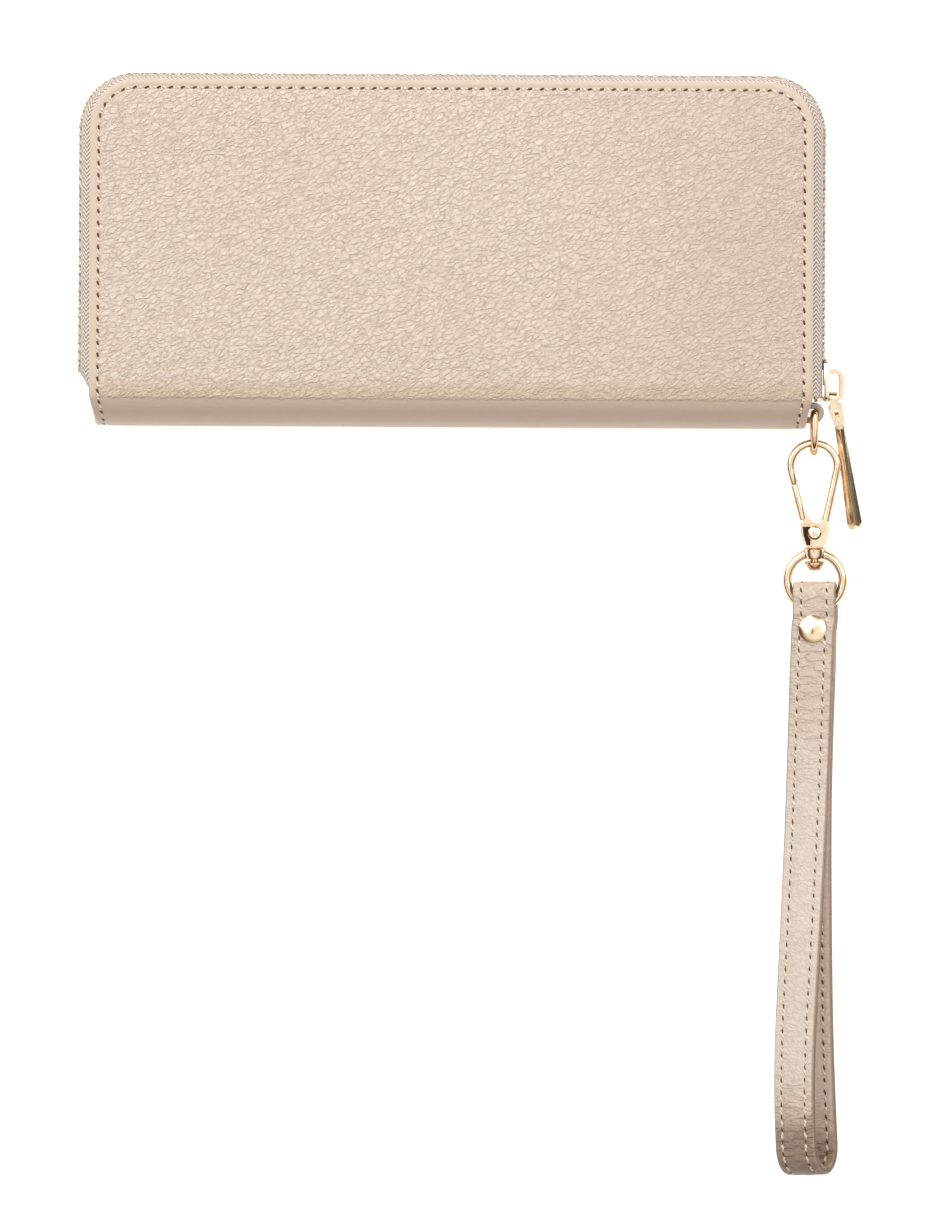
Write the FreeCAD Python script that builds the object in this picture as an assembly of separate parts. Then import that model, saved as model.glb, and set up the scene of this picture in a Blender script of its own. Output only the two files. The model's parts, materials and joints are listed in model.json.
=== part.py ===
import FreeCAD, Part

import math
import os

# Zip around wallet with a wrist strap on a snap hook, closed and lying flat on its back cover.
# Millimetres. X runs along the spine to the right, Y from the spine to the top edge, Z up out of
# the back cover. The origin is the middle of the back cover's resting face.

# Covers
COVER_LENGTH = 192.8
TOP_Y = 46.0
SPINE_Y = -46.3
THICKNESS = 21.0
MID_Z = THICKNESS / 2
CORNER_R = 12.5
SPINE_R = 9.0
SPINE_END_INSET = 1.5
LEATHER_T = 1.2
BOARD_T = 0.8
LINING_T = 0.4
RIM_WIDTH = 7.0
FOLD_HALF = 0.65
HALF_X = COVER_LENGTH / 2
COVER_STACK = LEATHER_T + BOARD_T + LINING_T

# Zip
TAPE_T = 0.5
TAPE_FLANGE = 5.0
CHAIN_HALF = 2.1
TEETH_OVERLAP = 0.6
TOOTH_DEPTH = 1.8
TOOTH_PITCH = 2.3
TOOTH_BASE = 1.5
TOOTH_TIP = 0.8
BULGE_LEFT = 3.1
BULGE_TOP = 1.9
BULGE_RIGHT = 3.4
BULGE_END = 0.2
LEFT_TAPER_Y = -32.4
LEFT_END_Y = -37.5
RIGHT_END_Y = -38.0
TEETH_START_Y = -30.4
STOP_LENGTH = 1.6
STOP_GAP = 0.2

# Zip slider and its pull
SLIDER_Y0 = -39.0
SLIDER_Y1 = -27.6
PLATE_T = 0.7
PLATE_GAP = 0.1
SHOULDER_HALF = 4.6
SHOULDER_LENGTH = 4.5
TAIL_HALF = 3.6
PLATE_CHAMFER = 1.2
RAIL_W = 0.8
OUTER_RAIL_T = 0.35
INNER_RAIL_T = 0.3
DIVIDER_HALF = 1.2
CROWN_LENGTH = 8.8
CROWN_R = 2.6
CROWN_HOLE_R = 0.7
CROWN_REACH = 4.4
CROWN_BAND = 1.4
CROWN_T = 2.0
PULL_DROOP = 14.0
LINK_SKEW = 15.5
BAR_SKEW = 9.4
LINK_LENGTH = 7.3
LINK_PIN_AT = 5.2
LINK_INNER_R = 1.3
LINK_T = 0.6
LINK_EYE_HALF = 1.0
LINK_NECK = (1.4, 1.1)
LINK_SHOULDER = (2.3, 1.9)
LINK_END_HALF = 1.45
LINK_CORNER = 0.6
LINK_SLOT = (2.6, 4.0, 0.5)
LINK_PIN_R = 0.5
LINK_HEAD_R = 0.8
LINK_HEAD_T = 0.25
LINK_BORE_R = 0.55
PULL_BAR_LENGTH = 28.3
PULL_BAR_BEVEL = 1.4
PULL_BAR_TOP = (2.4, 2.2)
PULL_BAR_WIDEST = (4.0, 3.2)
PULL_BAR_END = (2.8, 1.4)
PULL_BAR_EDGE = 0.35
PULL_BAR_GAP = 0.3
PULL_TONGUE_HALF = 0.95
PULL_TONGUE_LAP = 0.5

# Inside
POCKET_T = 0.3
POCKET_COUNT = 4
POCKET_TOP_Y = 30.0
POCKET_STEP = 8.0
POCKET_OUTER_X = 85.0
POCKET_INNER_X = 1.0
POUCH_HALF_X = 88.0
POUCH_WALL_T = 0.6
POUCH_HALF_T = 2.4
POUCH_BOTTOM_Y = -37.0
POUCH_TOP_Y = 38.0
GUSSET_T = 0.4
GUSSET_ROOT_X = 85.6
GUSSET_LIP_X = 87.2
GUSSET_FOLD_X = 90.0
GUSSET_FOLD_BACK = 0.7
GUSSET_INSET_Y = 2.5
COIN_CHAIN_INSET = 8.0
COIN_PITCH = 3.0
COIN_TOOTH_W = 1.1
COIN_TAPE_T = 0.4
COIN_TAPE_H = 0.8
COIN_SLIDER_X = 83.0
COIN_PLATE_T = 0.6
COIN_PLATE_HALF = 2.2
COIN_LOW_HALF = 1.7
COIN_BRIDGE_H = 2.0
COIN_PULL_LENGTH = 7.6
COIN_PULL_HALF = 1.9

# Corner tab and D ring
TAB_X = 96.9
TAB_Y = -42.0
TAB_GAP_R = 1.15
TAB_T = 1.6
TAB_HEIGHT = 7.0
TAB_ROOT_X = 84.0
FILLER_END_X = 93.5
D_WIRE_R = 0.9
D_HALF = 4.7
D_ARC_Y = -47.7
D_X = 97.1

# Snap hook: local x across, local y back towards the bow, local z out of the hook's plane
HOOK_WIRE_R = 1.05
HOOK_TOP = (97.0, -50.05)
HOOK_YAW = 1.1
RING_LOW_Z = 4.6
HOOK_TOP_Z = 9.2
BOW_R = 6.2
HOOK_NECK_S = 21.2
HOOK_NECK_X = 2.9
HOOK_PLATE_END_S = 28.0
HOOK_PLATE_T = 3.0
HOOK_PLATE_SIDES = [(24.2, 3.75), (27.2, 2.75), (28.0, 2.1)]
HOOK_SLOT_S = (20.0, 26.0)
HOOK_SLOT_END_X = 2.1
PIVOT_BORE_R = 0.95
HOOK_NOSE_S = 10.2
GATE_END_S = 10.9
GATE_PIVOT_S = 24.0
GATE_SLOT_HALF = 0.65
GATE_WIRE_R = 0.95
GATE_FOOT_S = 20.4
GATE_TONGUE_HALF = 0.6
GATE_TONGUE = [(-4.2, 18.8), (-2.5, 18.8), (1.2, 22.8), (-1.2, 25.2)]
GATE_BOSS_R = 1.6
GATE_RIVET_R = 0.9
GATE_RIVET_HEAD = (1.85, 0.35)
SPRING_S = (21.8, 26.0)
SPRING_T = 0.3
SPRING_HALF = 0.5
COLLAR_S0 = 28.2
COLLAR_S1 = 31.0
WASHER_S0 = 31.8
WASHER_S1 = 32.5
HEAD_END_S = 34.1
SWIVEL_R = 1.2
SWIVEL_HEAD_R = 2.05
WASHER_R = 2.65
COLLAR_R = 2.85
SWIVEL_GAP = 0.25
RING_CENTRE_S = 36.9
RING_R = 7.5
RING_WIRE_R = 1.2

# Wrist strap
STRAP_W = 11.5
STRAP_T = 2.2
RING_TWIST = 8.0
TURN_CENTRE_S = 40.7
TURN_END_S = 45.5
TURN_HALF = 2.4
TAIL_S = 47.5
STRAP_FLOOR = 0.1
STRAP_MID = [
    (97.55, -99.8, 8.6, 2.4),
    (97.40, -106.0, 10.0, 2.4),
    (97.20, -112.8, 11.0, 2.4),
    (96.90, -124.0, 12.5, 1.9),
    (96.50, -140.0, 15.0, 1.8),
    (96.20, -155.0, 17.5, 2.4),
    (95.90, -172.0, 20.0, 3.5),
    (95.60, -190.0, 22.5, 4.7),
    (95.40, -208.0, 25.0, 5.8),
    (95.60, -224.0, 27.0, 6.4),
    (96.20, -238.0, 28.0, 6.4),
]
TAIL_STATIONS = 3
TAIL_GAP = 0.02
BEND_STEPS = 8
RIVET_R = 3.7
RIVET_H = 1.4
RIVET_FOOT_T = 0.3
RIVET_GAP = 0.05
SEAT_GAP = 0.1
POST_R = 1.2

# Facets
WIRE_SIDES = 12
RING_STEPS = 28
BOW_STEPS = 16
D_STEPS = 10
DOME_STEPS = 3
CORNER_STEPS = 6
TAPE_STEPS = 4

V = FreeCAD.Vector
Z_AXIS = V(0, 0, 1)


def export(name, shape):
    """Write one sub-part."""
    shape.exportStep("parts/" + name + ".step")


def box(x0, x1, y0, y1, z0, z1):
    """Box between six planes."""
    return Part.makeBox(x1 - x0, y1 - y0, z1 - z0, V(x0, y0, z0))


def prism(points, direction):
    """Closed outline of points, extruded."""
    return Part.Face(Part.makePolygon(points + [points[0]])).extrude(direction)


def cylinder(start, end, radius):
    """Round bar between two points."""
    along = end.sub(start)
    return Part.makeCylinder(radius, along.Length, start, along)


def fused(shapes):
    """One solid from touching or overlapping solids."""
    return shapes[0].multiFuse(shapes[1:]).removeSplitter()


def skin(sections, closed=False):
    """Solid through matching sections, with flat facets from each one to the next."""
    rings = sections + sections[:1] if closed else sections
    faces = []
    for a, b in zip(rings, rings[1:]):
        for i in range(len(a)):
            j = (i + 1) % len(a)
            for corners in ([a[i], a[j], b[j]], [a[i], b[j], b[i]]):
                faces.append(Part.Face(Part.makePolygon(corners + corners[:1])))
    if not closed:
        faces += [Part.Face(Part.makePolygon(s + s[:1])) for s in (sections[0], sections[-1])]
    shell = Part.makeCompound(faces)
    shell.sewShape()
    solid = Part.makeSolid(shell.Shells[0])
    if solid.Volume < 0:
        solid.reverse()
    return solid.removeSplitter()


def bent_wire(path, radius, normal, closed=False):
    """Round wire along a flat path, which lies square to the normal."""
    sections = []
    for i, here in enumerate(path):
        before = path[i - 1] if i or closed else here
        after = path[(i + 1) % len(path)] if i + 1 < len(path) or closed else here
        side = normal.cross(after.sub(before)).normalize()
        ring = []
        for k in range(WIRE_SIDES):
            a = 2 * math.pi * (k + 0.5) / WIRE_SIDES
            ring.append(here + side * (radius * math.cos(a)) + normal * (radius * math.sin(a)))
        sections.append(ring)
    return skin(sections, closed)


def flip(shape):
    """The front half's copy of a back half's piece, mirrored in the middle plane."""
    return shape.mirror(V(0, 0, MID_Z), Z_AXIS)


# Covers


def cover_outline(inset):
    """Plan outline of a cover: rounded at the zip's corners, drawn in at the spine's ends."""
    x = HALF_X - inset
    top = TOP_Y - inset
    r = CORNER_R - inset
    c = r * math.sqrt(0.5)
    bend_y = SPINE_Y + SPINE_R
    spine_x = x - SPINE_END_INSET
    edges = [
        Part.makeLine(V(-spine_x, SPINE_Y, 0), V(-x, bend_y, 0)),
        Part.makeLine(V(-x, bend_y, 0), V(-x, top - r, 0)),
        Part.Arc(V(-x, top - r, 0), V(r - x - c, top - r + c, 0), V(r - x, top, 0)).toShape(),
        Part.makeLine(V(r - x, top, 0), V(x - r, top, 0)),
        Part.Arc(V(x - r, top, 0), V(x - r + c, top - r + c, 0), V(x, top - r, 0)).toShape(),
        Part.makeLine(V(x, top - r, 0), V(x, bend_y, 0)),
        Part.makeLine(V(x, bend_y, 0), V(spine_x, SPINE_Y, 0)),
        Part.makeLine(V(spine_x, SPINE_Y, 0), V(-spine_x, SPINE_Y, 0)),
    ]
    return Part.Face(Part.Wire(edges))


def plan(inset, z0, z1):
    """Cover outline as a plate between two heights."""
    face = cover_outline(inset)
    face.translate(V(0, 0, z0))
    return face.extrude(V(0, 0, z1 - z0))


def cover_section(depth0, depth1):
    """Flat cover with its quarter of the spine, as a layer between two depths, along X."""
    cy = SPINE_Y + SPINE_R
    ra = SPINE_R - depth0
    rb = SPINE_R - depth1
    q = math.sqrt(0.5)
    end_z = MID_Z - FOLD_HALF
    edges = [
        Part.makeLine(V(-HALF_X, TOP_Y, depth0), V(-HALF_X, cy, depth0)),
        Part.Arc(
            V(-HALF_X, cy, depth0), V(-HALF_X, cy - ra * q, SPINE_R - ra * q), V(-HALF_X, cy - ra, SPINE_R)
        ).toShape(),
        Part.makeLine(V(-HALF_X, cy - ra, SPINE_R), V(-HALF_X, cy - ra, end_z)),
        Part.makeLine(V(-HALF_X, cy - ra, end_z), V(-HALF_X, cy - rb, end_z)),
        Part.makeLine(V(-HALF_X, cy - rb, end_z), V(-HALF_X, cy - rb, SPINE_R)),
        Part.Arc(
            V(-HALF_X, cy - rb, SPINE_R), V(-HALF_X, cy - rb * q, SPINE_R - rb * q), V(-HALF_X, cy, depth1)
        ).toShape(),
        Part.makeLine(V(-HALF_X, cy, depth1), V(-HALF_X, TOP_Y, depth1)),
        Part.makeLine(V(-HALF_X, TOP_Y, depth1), V(-HALF_X, TOP_Y, depth0)),
    ]
    return Part.Face(Part.Wire(edges)).extrude(V(COVER_LENGTH, 0, 0))


def cover_leather():
    """Outer leather: panel, quarter spine, and the edge turned over the board."""
    panel = cover_section(0, LEATHER_T).common(plan(0, 0, MID_Z))
    rim = plan(0, LEATHER_T, COVER_STACK).cut(plan(RIM_WIDTH, 0, MID_Z))
    rim = rim.common(box(-HALF_X, HALF_X, SPINE_Y + SPINE_R, TOP_Y, 0, MID_Z))
    return fused([panel, rim])


def inside_panel(z0, z1):
    """Plate that fills the space within the turned edge."""
    above_spine = box(-HALF_X, HALF_X, SPINE_Y + SPINE_R, TOP_Y, z0, z1)
    return plan(RIM_WIDTH, z0, z1).common(above_spine)


def spine_fold():
    """Strip of spine leather at the fold line, between the two covers."""
    x = HALF_X - SPINE_END_INSET
    z0 = MID_Z - FOLD_HALF
    return box(-x, x, SPINE_Y, SPINE_Y + LEATHER_T, z0, MID_Z + FOLD_HALF)


# Zip tape and teeth


def bulge_at(turn, side_bulge):
    """How far the zip stands out of the cover's edge, from side (0) to top (1) round a corner."""
    return side_bulge + (BULGE_TOP - side_bulge) * turn


def zip_stations():
    """Places along the cover's edge, left to right: x, y, heading in degrees, bulge."""
    cx = HALF_X - CORNER_R
    cy = TOP_Y - CORNER_R
    places = [(-HALF_X, LEFT_END_Y, 90, BULGE_END), (-HALF_X, LEFT_TAPER_Y, 90, BULGE_LEFT)]
    for side, side_bulge in ((-1, BULGE_LEFT), (1, BULGE_RIGHT)):
        for i in range(CORNER_STEPS + 1):
            part = i / CORNER_STEPS if side < 0 else 1 - i / CORNER_STEPS
            heading = 90 * (1 - part) * -side
            a = math.radians(heading + 90)
            x = side * cx + CORNER_R * math.cos(a)
            y = cy + CORNER_R * math.sin(a)
            places.append((x, y, heading, bulge_at(part, side_bulge)))
    places.append((HALF_X, RIGHT_END_Y, -90, BULGE_RIGHT))
    return places


def tape_outline(bulge):
    """Tape's section as (outward, height): sewn flange, then a curve out and up to the teeth."""
    z0 = COVER_STACK + TAPE_T / 2
    z1 = MID_Z - CHAIN_HALF
    reach = bulge - TOOTH_DEPTH / 2 + 1
    line = [(-1 - TAPE_FLANGE, z0)]
    for i in range(TAPE_STEPS + 1):
        a = math.pi / 2 * i / TAPE_STEPS
        line.append((-1 + reach * math.sin(a), z0 + (z1 - z0) * (1 - math.cos(a))))
    lower = []
    upper = []
    for i, (n, z) in enumerate(line):
        a = math.pi / 2 * max(i - 1, 0) / TAPE_STEPS
        dn = -math.sin(a) * TAPE_T / 2
        dz = math.cos(a) * TAPE_T / 2
        lower.append((n - dn, z - dz))
        upper.append((n + dn, z + dz))
    return lower + upper[::-1]


def zip_tape():
    """Back half of the zip tape, lofted round three sides of the cover."""
    sections = []
    for x, y, heading, bulge in zip_stations():
        a = math.radians(heading + 90)
        outward = V(math.cos(a), math.sin(a), 0)
        sections.append([V(x, y, 0) + outward * n + Z_AXIS * z for n, z in tape_outline(bulge)])
    return skin(sections)


def tooth():
    """One tooth seated on the tape's edge, at a path point: x along, y outward from the chain."""
    base = MID_Z - CHAIN_HALF
    tip = MID_Z + TEETH_OVERLAP
    b = TOOTH_BASE / 2
    t = TOOTH_TIP / 2
    outline = [(-b, base), (b, base), (t, tip), (-t, tip)]
    return prism([V(x, -TOOTH_DEPTH, z) for x, z in outline], V(0, TOOTH_DEPTH, 0))


def chain_places(run, phase):
    """Tooth places of one run of the chain as (x, y, heading), the two halves half a pitch apart."""
    cx = HALF_X - CORNER_R
    cy = TOP_Y - CORNER_R
    side_length = cy - TEETH_START_Y
    places = []
    if run in ("left", "right"):
        side = -1 if run == "left" else 1
        bulge = BULGE_LEFT if side < 0 else BULGE_RIGHT
        count = round(side_length / TOOTH_PITCH)
        for i in range(count):
            along = side_length * (i + phase) / count
            y = TEETH_START_Y + along if side < 0 else cy - along
            places.append((side * (HALF_X + bulge), y, -90 * side))
    if run == "top":
        count = round(2 * cx / TOOTH_PITCH)
        for i in range(count):
            places.append((-cx + 2 * cx * (i + phase) / count, TOP_Y + BULGE_TOP, 0))
    if run in ("left_corner", "right_corner"):
        side = -1 if run == "left_corner" else 1
        side_bulge = BULGE_LEFT if side < 0 else BULGE_RIGHT
        count = round(CORNER_R * math.pi / 2 / TOOTH_PITCH)
        for i in range(count):
            done = (i + phase) / count
            part = done if side < 0 else 1 - done
            heading = 90 * (1 - part) * -side
            a = math.radians(heading + 90)
            r = CORNER_R + bulge_at(part, side_bulge)
            places.append((side * cx + r * math.cos(a), cy + r * math.sin(a), heading))
    return places


def teeth(runs, phase):
    """Group of separate teeth along the named runs."""
    group = []
    for run in runs:
        for x, y, heading in chain_places(run, phase):
            one = tooth()
            one.Placement = FreeCAD.Placement(V(x, y, 0), FreeCAD.Rotation(Z_AXIS, heading))
            group.append(one)
    return Part.makeCompound(group)


def zip_stop():
    """Back half of the stop at the chain's left end."""
    left = -HALF_X - BULGE_LEFT
    y1 = TEETH_START_Y - STOP_GAP
    z0 = MID_Z - CHAIN_HALF
    return box(left, left + TOOTH_DEPTH, y1 - STOP_LENGTH, y1, z0, MID_Z - STOP_GAP / 2)


# Zip slider and pull


def slider_body():
    """Two plates with side rails, the divider between them, and the D-shaped crown."""
    chain_x = HALF_X + BULGE_RIGHT
    outer = chain_x + PLATE_GAP
    inner = chain_x - TOOTH_DEPTH - PLATE_GAP
    shoulder_y = SLIDER_Y0 + SHOULDER_LENGTH
    c = PLATE_CHAMFER
    half_outline = [
        (SLIDER_Y0, SHOULDER_HALF - c), (SLIDER_Y0 + c, SHOULDER_HALF), (shoulder_y, SHOULDER_HALF),
        (SLIDER_Y1 - c, TAIL_HALF), (SLIDER_Y1, TAIL_HALF - c),
    ]
    outline = half_outline + [(y, -z) for y, z in half_outline[::-1]]
    shapes = []
    for x0, x1, rail0, rail1 in (
        (outer, outer + PLATE_T, outer - OUTER_RAIL_T, outer),
        (inner - PLATE_T, inner, inner, inner + INNER_RAIL_T),
    ):
        shapes.append(prism([V(x0, y, MID_Z + z) for y, z in outline], V(x1 - x0, 0, 0)))
        for side in (-1, 1):
            rail = [
                (shoulder_y, SHOULDER_HALF), (SLIDER_Y1 - c, TAIL_HALF),
                (SLIDER_Y1 - c, TAIL_HALF - RAIL_W), (shoulder_y, SHOULDER_HALF - RAIL_W),
            ]
            shapes.append(prism([V(rail0, y, MID_Z + side * z) for y, z in rail], V(rail1 - rail0, 0, 0)))
    divider_y = SLIDER_Y0 + INNER_RAIL_T
    shapes.append(
        box(inner, outer, divider_y, divider_y + DIVIDER_HALF, MID_Z - DIVIDER_HALF, MID_Z + DIVIDER_HALF)
    )
    return fused(shapes + [slider_crown(outer + PLATE_T)])


def rounded_plate(x0, x1, y0, y1, r, z0, z1):
    """Plate in plan with its two outer corners rounded."""
    c = r * (1 - math.sqrt(0.5))
    edges = [
        Part.makeLine(V(x0, y0, z0), V(x1 - r, y0, z0)),
        Part.Arc(V(x1 - r, y0, z0), V(x1 - c, y0 + c, z0), V(x1, y0 + r, z0)).toShape(),
        Part.makeLine(V(x1, y0 + r, z0), V(x1, y1 - r, z0)),
        Part.Arc(V(x1, y1 - r, z0), V(x1 - c, y1 - c, z0), V(x1 - r, y1, z0)).toShape(),
        Part.makeLine(V(x1 - r, y1, z0), V(x0, y1, z0)),
        Part.makeLine(V(x0, y1, z0), V(x0, y0, z0)),
    ]
    return Part.Face(Part.Wire(edges)).extrude(V(0, 0, z1 - z0))


def slider_crown(plate_x):
    """D-shaped loop that carries the pull, standing on the outer plate."""
    y0 = SLIDER_Y0 + PLATE_GAP
    y1 = y0 + CROWN_LENGTH
    z0 = MID_Z - CROWN_T / 2
    z1 = MID_Z + CROWN_T / 2
    outside = rounded_plate(plate_x - PLATE_T / 2, plate_x + CROWN_REACH, y0, y1, CROWN_R, z0, z1)
    hole_x = plate_x + CROWN_REACH - CROWN_BAND
    hole = rounded_plate(
        plate_x, hole_x, y0 + CROWN_BAND, y1 - CROWN_BAND, CROWN_HOLE_R, z0 - CROWN_T, z1 + CROWN_T
    )
    return outside.cut(hole)


def pull_pivot():
    """Middle of the crown's lower bar, on which the pull link hangs."""
    plate_x = HALF_X + BULGE_RIGHT + PLATE_GAP + PLATE_T
    return V(plate_x + CROWN_REACH / 2 - PLATE_T, SLIDER_Y0 + PLATE_GAP + CROWN_BAND / 2, MID_Z)


def drooped(shape):
    """A pull piece, tilted down about the crown's bar until its end rests on the table."""
    shape.rotate(pull_pivot(), V(1, 0, 0), PULL_DROOP)
    return shape


def link_point(along, across=0.0):
    """Point on the pull link in plan, measured from the crown's bar."""
    p = pull_pivot()
    a = math.radians(LINK_SKEW)
    return V(
        p.x + along * math.tan(a) + across * math.cos(a),
        p.y - along + across * math.sin(a),
        p.z,
    )


def pull_link():
    """Folded clip: an eye round the crown's bar and two plates with a slot and a pin hole."""
    p = pull_pivot()
    r1 = LINK_INNER_R + LINK_T
    start = V(p.x - LINK_EYE_HALF, p.y, p.z)
    end = V(p.x + LINK_EYE_HALF, p.y, p.z)
    behind_bar = box(start.x, end.x, p.y, p.y + 2 * r1, p.z - 2 * r1, p.z + 2 * r1)
    eye = cylinder(start, end, r1).cut(cylinder(start, end, LINK_INNER_R)).common(behind_bar)
    sides = [
        LINK_NECK, LINK_SHOULDER, (LINK_LENGTH - LINK_CORNER, LINK_END_HALF),
        (LINK_LENGTH, LINK_END_HALF - LINK_CORNER),
    ]
    corners = [start] + [link_point(along, -half) for along, half in sides]
    corners += [link_point(along, half) for along, half in sides[::-1]] + [end]
    slot0, slot1, slot_half = LINK_SLOT
    slot = [
        link_point(slot0, -slot_half), link_point(slot0, slot_half),
        link_point(slot1, slot_half), link_point(slot1, -slot_half),
    ]
    pin_at = link_point(LINK_PIN_AT)
    plates = []
    for z in (LINK_INNER_R, -r1):
        lift = V(0, 0, z)
        thickness = V(0, 0, LINK_T)
        plate = prism([q + lift for q in corners], thickness)
        plate = plate.cut(prism([q + lift for q in slot], thickness))
        plates.append(plate.cut(cylinder(pin_at + lift, pin_at + lift + thickness, LINK_BORE_R)))
    return drooped(fused([eye] + plates))


def pull_pin():
    """Pin through the link's plates and the pull bar's tongue."""
    p = link_point(LINK_PIN_AT)
    half = V(0, 0, LINK_INNER_R + LINK_T)
    head = V(0, 0, LINK_HEAD_T)
    shapes = [cylinder(p - half, p + half, LINK_PIN_R)]
    shapes.append(cylinder(p + half, p + half + head, LINK_HEAD_R))
    shapes.append(cylinder(p - half - head, p - half, LINK_HEAD_R))
    return drooped(fused(shapes))


def bar_section(start, direction, along, size):
    """Ridged six-sided section of the pull bar."""
    side = V(-direction.y, direction.x, 0)
    centre = start + direction * along
    half_w = size[0] / 2
    half_t = size[1] / 2
    corners = (
        (-half_w, PULL_BAR_EDGE), (0, half_t), (half_w, PULL_BAR_EDGE),
        (half_w, -PULL_BAR_EDGE), (0, -half_t), (-half_w, -PULL_BAR_EDGE),
    )
    return [centre + side * a + V(0, 0, z) for a, z in corners]


def pull_bar():
    """Long ridged bar, widening to a chamfered end, with a flat tongue for the pin."""
    pin_at = link_point(LINK_PIN_AT)
    a = math.radians(BAR_SKEW)
    direction = V(math.sin(a), -math.cos(a), 0)
    start = LINK_LENGTH - LINK_PIN_AT + PULL_BAR_GAP
    end = start + PULL_BAR_LENGTH
    sizes = ((start, PULL_BAR_TOP), (end - PULL_BAR_BEVEL, PULL_BAR_WIDEST), (end, PULL_BAR_END))
    body = skin([bar_section(pin_at, direction, along, size) for along, size in sizes])
    side = V(-direction.y, direction.x, 0) * PULL_TONGUE_HALF
    reach = direction * (start + PULL_TONGUE_LAP)
    half_z = V(0, 0, LINK_INNER_R - LINK_HEAD_T)
    corners = [pin_at - side, pin_at + side, pin_at + side + reach, pin_at - side + reach]
    tongue = prism([q - half_z for q in corners], half_z * 2)
    round_end = cylinder(pin_at - half_z, pin_at + half_z, PULL_TONGUE_HALF)
    hole = cylinder(pin_at - half_z * 2, pin_at + half_z * 2, LINK_BORE_R)
    return drooped(fused([body, tongue, round_end]).cut(hole))


# Inside the wallet


def card_pocket(index):
    """One row of card pockets: two columns, each row lower and nearer than the last."""
    z = COVER_STACK + POCKET_T * index
    top = POCKET_TOP_Y - POCKET_STEP * index
    bottom = SPINE_Y + SPINE_R + POCKET_INNER_X
    columns = [
        box(x0, x1, bottom, top, z, z + POCKET_T)
        for x0, x1 in ((-POCKET_OUTER_X, -POCKET_INNER_X), (POCKET_INNER_X, POCKET_OUTER_X))
    ]
    return Part.makeCompound(columns)


def gusset(side):
    """V-folded side of a bill compartment, from the lining to the pouch wall."""
    z0 = COVER_STACK
    z1 = MID_Z - POUCH_HALF_T
    zm = (z0 + z1) / 2
    t = GUSSET_T
    lip_x = GUSSET_LIP_X - t / 2
    outer = [(GUSSET_ROOT_X, z0), (GUSSET_LIP_X, z0), (GUSSET_FOLD_X, zm)]
    outer += [(GUSSET_LIP_X, z1), (GUSSET_ROOT_X, z1)]
    inner = [(GUSSET_ROOT_X, z1 - t), (lip_x, z1 - t), (GUSSET_FOLD_X - GUSSET_FOLD_BACK, zm)]
    inner += [(lip_x, z0 + t), (GUSSET_ROOT_X, z0 + t)]
    length = POUCH_TOP_Y - POUCH_BOTTOM_Y - 2 * GUSSET_INSET_Y
    points = [V(side * x, POUCH_BOTTOM_Y + GUSSET_INSET_Y, z) for x, z in outer + inner]
    return prism(points, V(0, length, 0))


def pouch_wall():
    """Back half of the coin pouch: a panel with its edges turned towards the other half."""
    z0 = MID_Z - POUCH_HALF_T
    x = POUCH_HALF_X
    t = POUCH_WALL_T
    whole = box(-x, x, POUCH_BOTTOM_Y, POUCH_TOP_Y, z0, MID_Z)
    return whole.cut(box(t - x, x - t, POUCH_BOTTOM_Y + t, POUCH_TOP_Y + 1, z0 + t, MID_Z))


def coin_tape():
    """Back strip of the coin pouch's zip tape, across its mouth."""
    z0 = MID_Z - POUCH_HALF_T + POUCH_WALL_T
    x = POUCH_HALF_X - POUCH_WALL_T
    y1 = POUCH_TOP_Y - COIN_PLATE_T
    return box(-x, x, y1 - COIN_TAPE_T, y1, z0, z0 + COIN_TAPE_H)


def coin_teeth(phase, flipped):
    """Teeth of one half of the coin pouch's chain."""
    reach = POUCH_HALF_X - COIN_CHAIN_INSET
    z0 = MID_Z - POUCH_HALF_T + POUCH_WALL_T + COIN_TAPE_H
    y1 = POUCH_TOP_Y - COIN_TAPE_T + SEAT_GAP
    group = []
    for i in range(int(2 * reach / COIN_PITCH)):
        x0 = (i + phase) * COIN_PITCH - reach - COIN_TOOTH_W / 2
        one = box(x0, x0 + COIN_TOOTH_W, y1 - 1, y1, z0, MID_Z + COIN_TOOTH_W / 2)
        group.append(flip(one) if flipped else one)
    return Part.makeCompound(group)


def coin_slider():
    """Coin pouch slider: plates above and below the chain, a post and a bridge for the pull."""
    x = COIN_SLIDER_X
    y = POUCH_TOP_Y
    t = COIN_PLATE_T
    x0 = x - 4
    x1 = x + 3
    low_y = y - 2
    top = box(x0, x1, y, y + t, MID_Z - COIN_PLATE_HALF, MID_Z + COIN_PLATE_HALF)
    low = box(x0, x1, low_y, low_y + t, MID_Z - COIN_LOW_HALF, MID_Z + COIN_LOW_HALF)
    post = box(x1 - 2 * t, x1, low_y + t, y, MID_Z - t, MID_Z + t)
    bridge = box(x0 + 1, x1 - 1, y + t, y + t + COIN_BRIDGE_H, MID_Z - t, MID_Z + t)
    bridge = bridge.cut(box(x0 + 1 + t, x1 - 1 - t, y + t, y + COIN_BRIDGE_H, MID_Z - 1, MID_Z + 1))
    return fused([top, low, post, bridge])


def coin_pull():
    """Flat pull tab looped round the coin slider's bridge, lying along the chain."""
    x1 = COIN_SLIDER_X + 1
    y0 = POUCH_TOP_Y + COIN_PLATE_T + 0.2
    plate = box(x1 - COIN_PULL_LENGTH, x1, y0, y0 + 0.8, MID_Z - COIN_PULL_HALF, MID_Z + COIN_PULL_HALF)
    eye = box(x1 - 4.2, x1 - 0.8, y0, y0 + 0.8, MID_Z - 0.8, MID_Z + 0.8)
    return plate.cut(eye)


# Corner tab, D ring and snap hook


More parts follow.
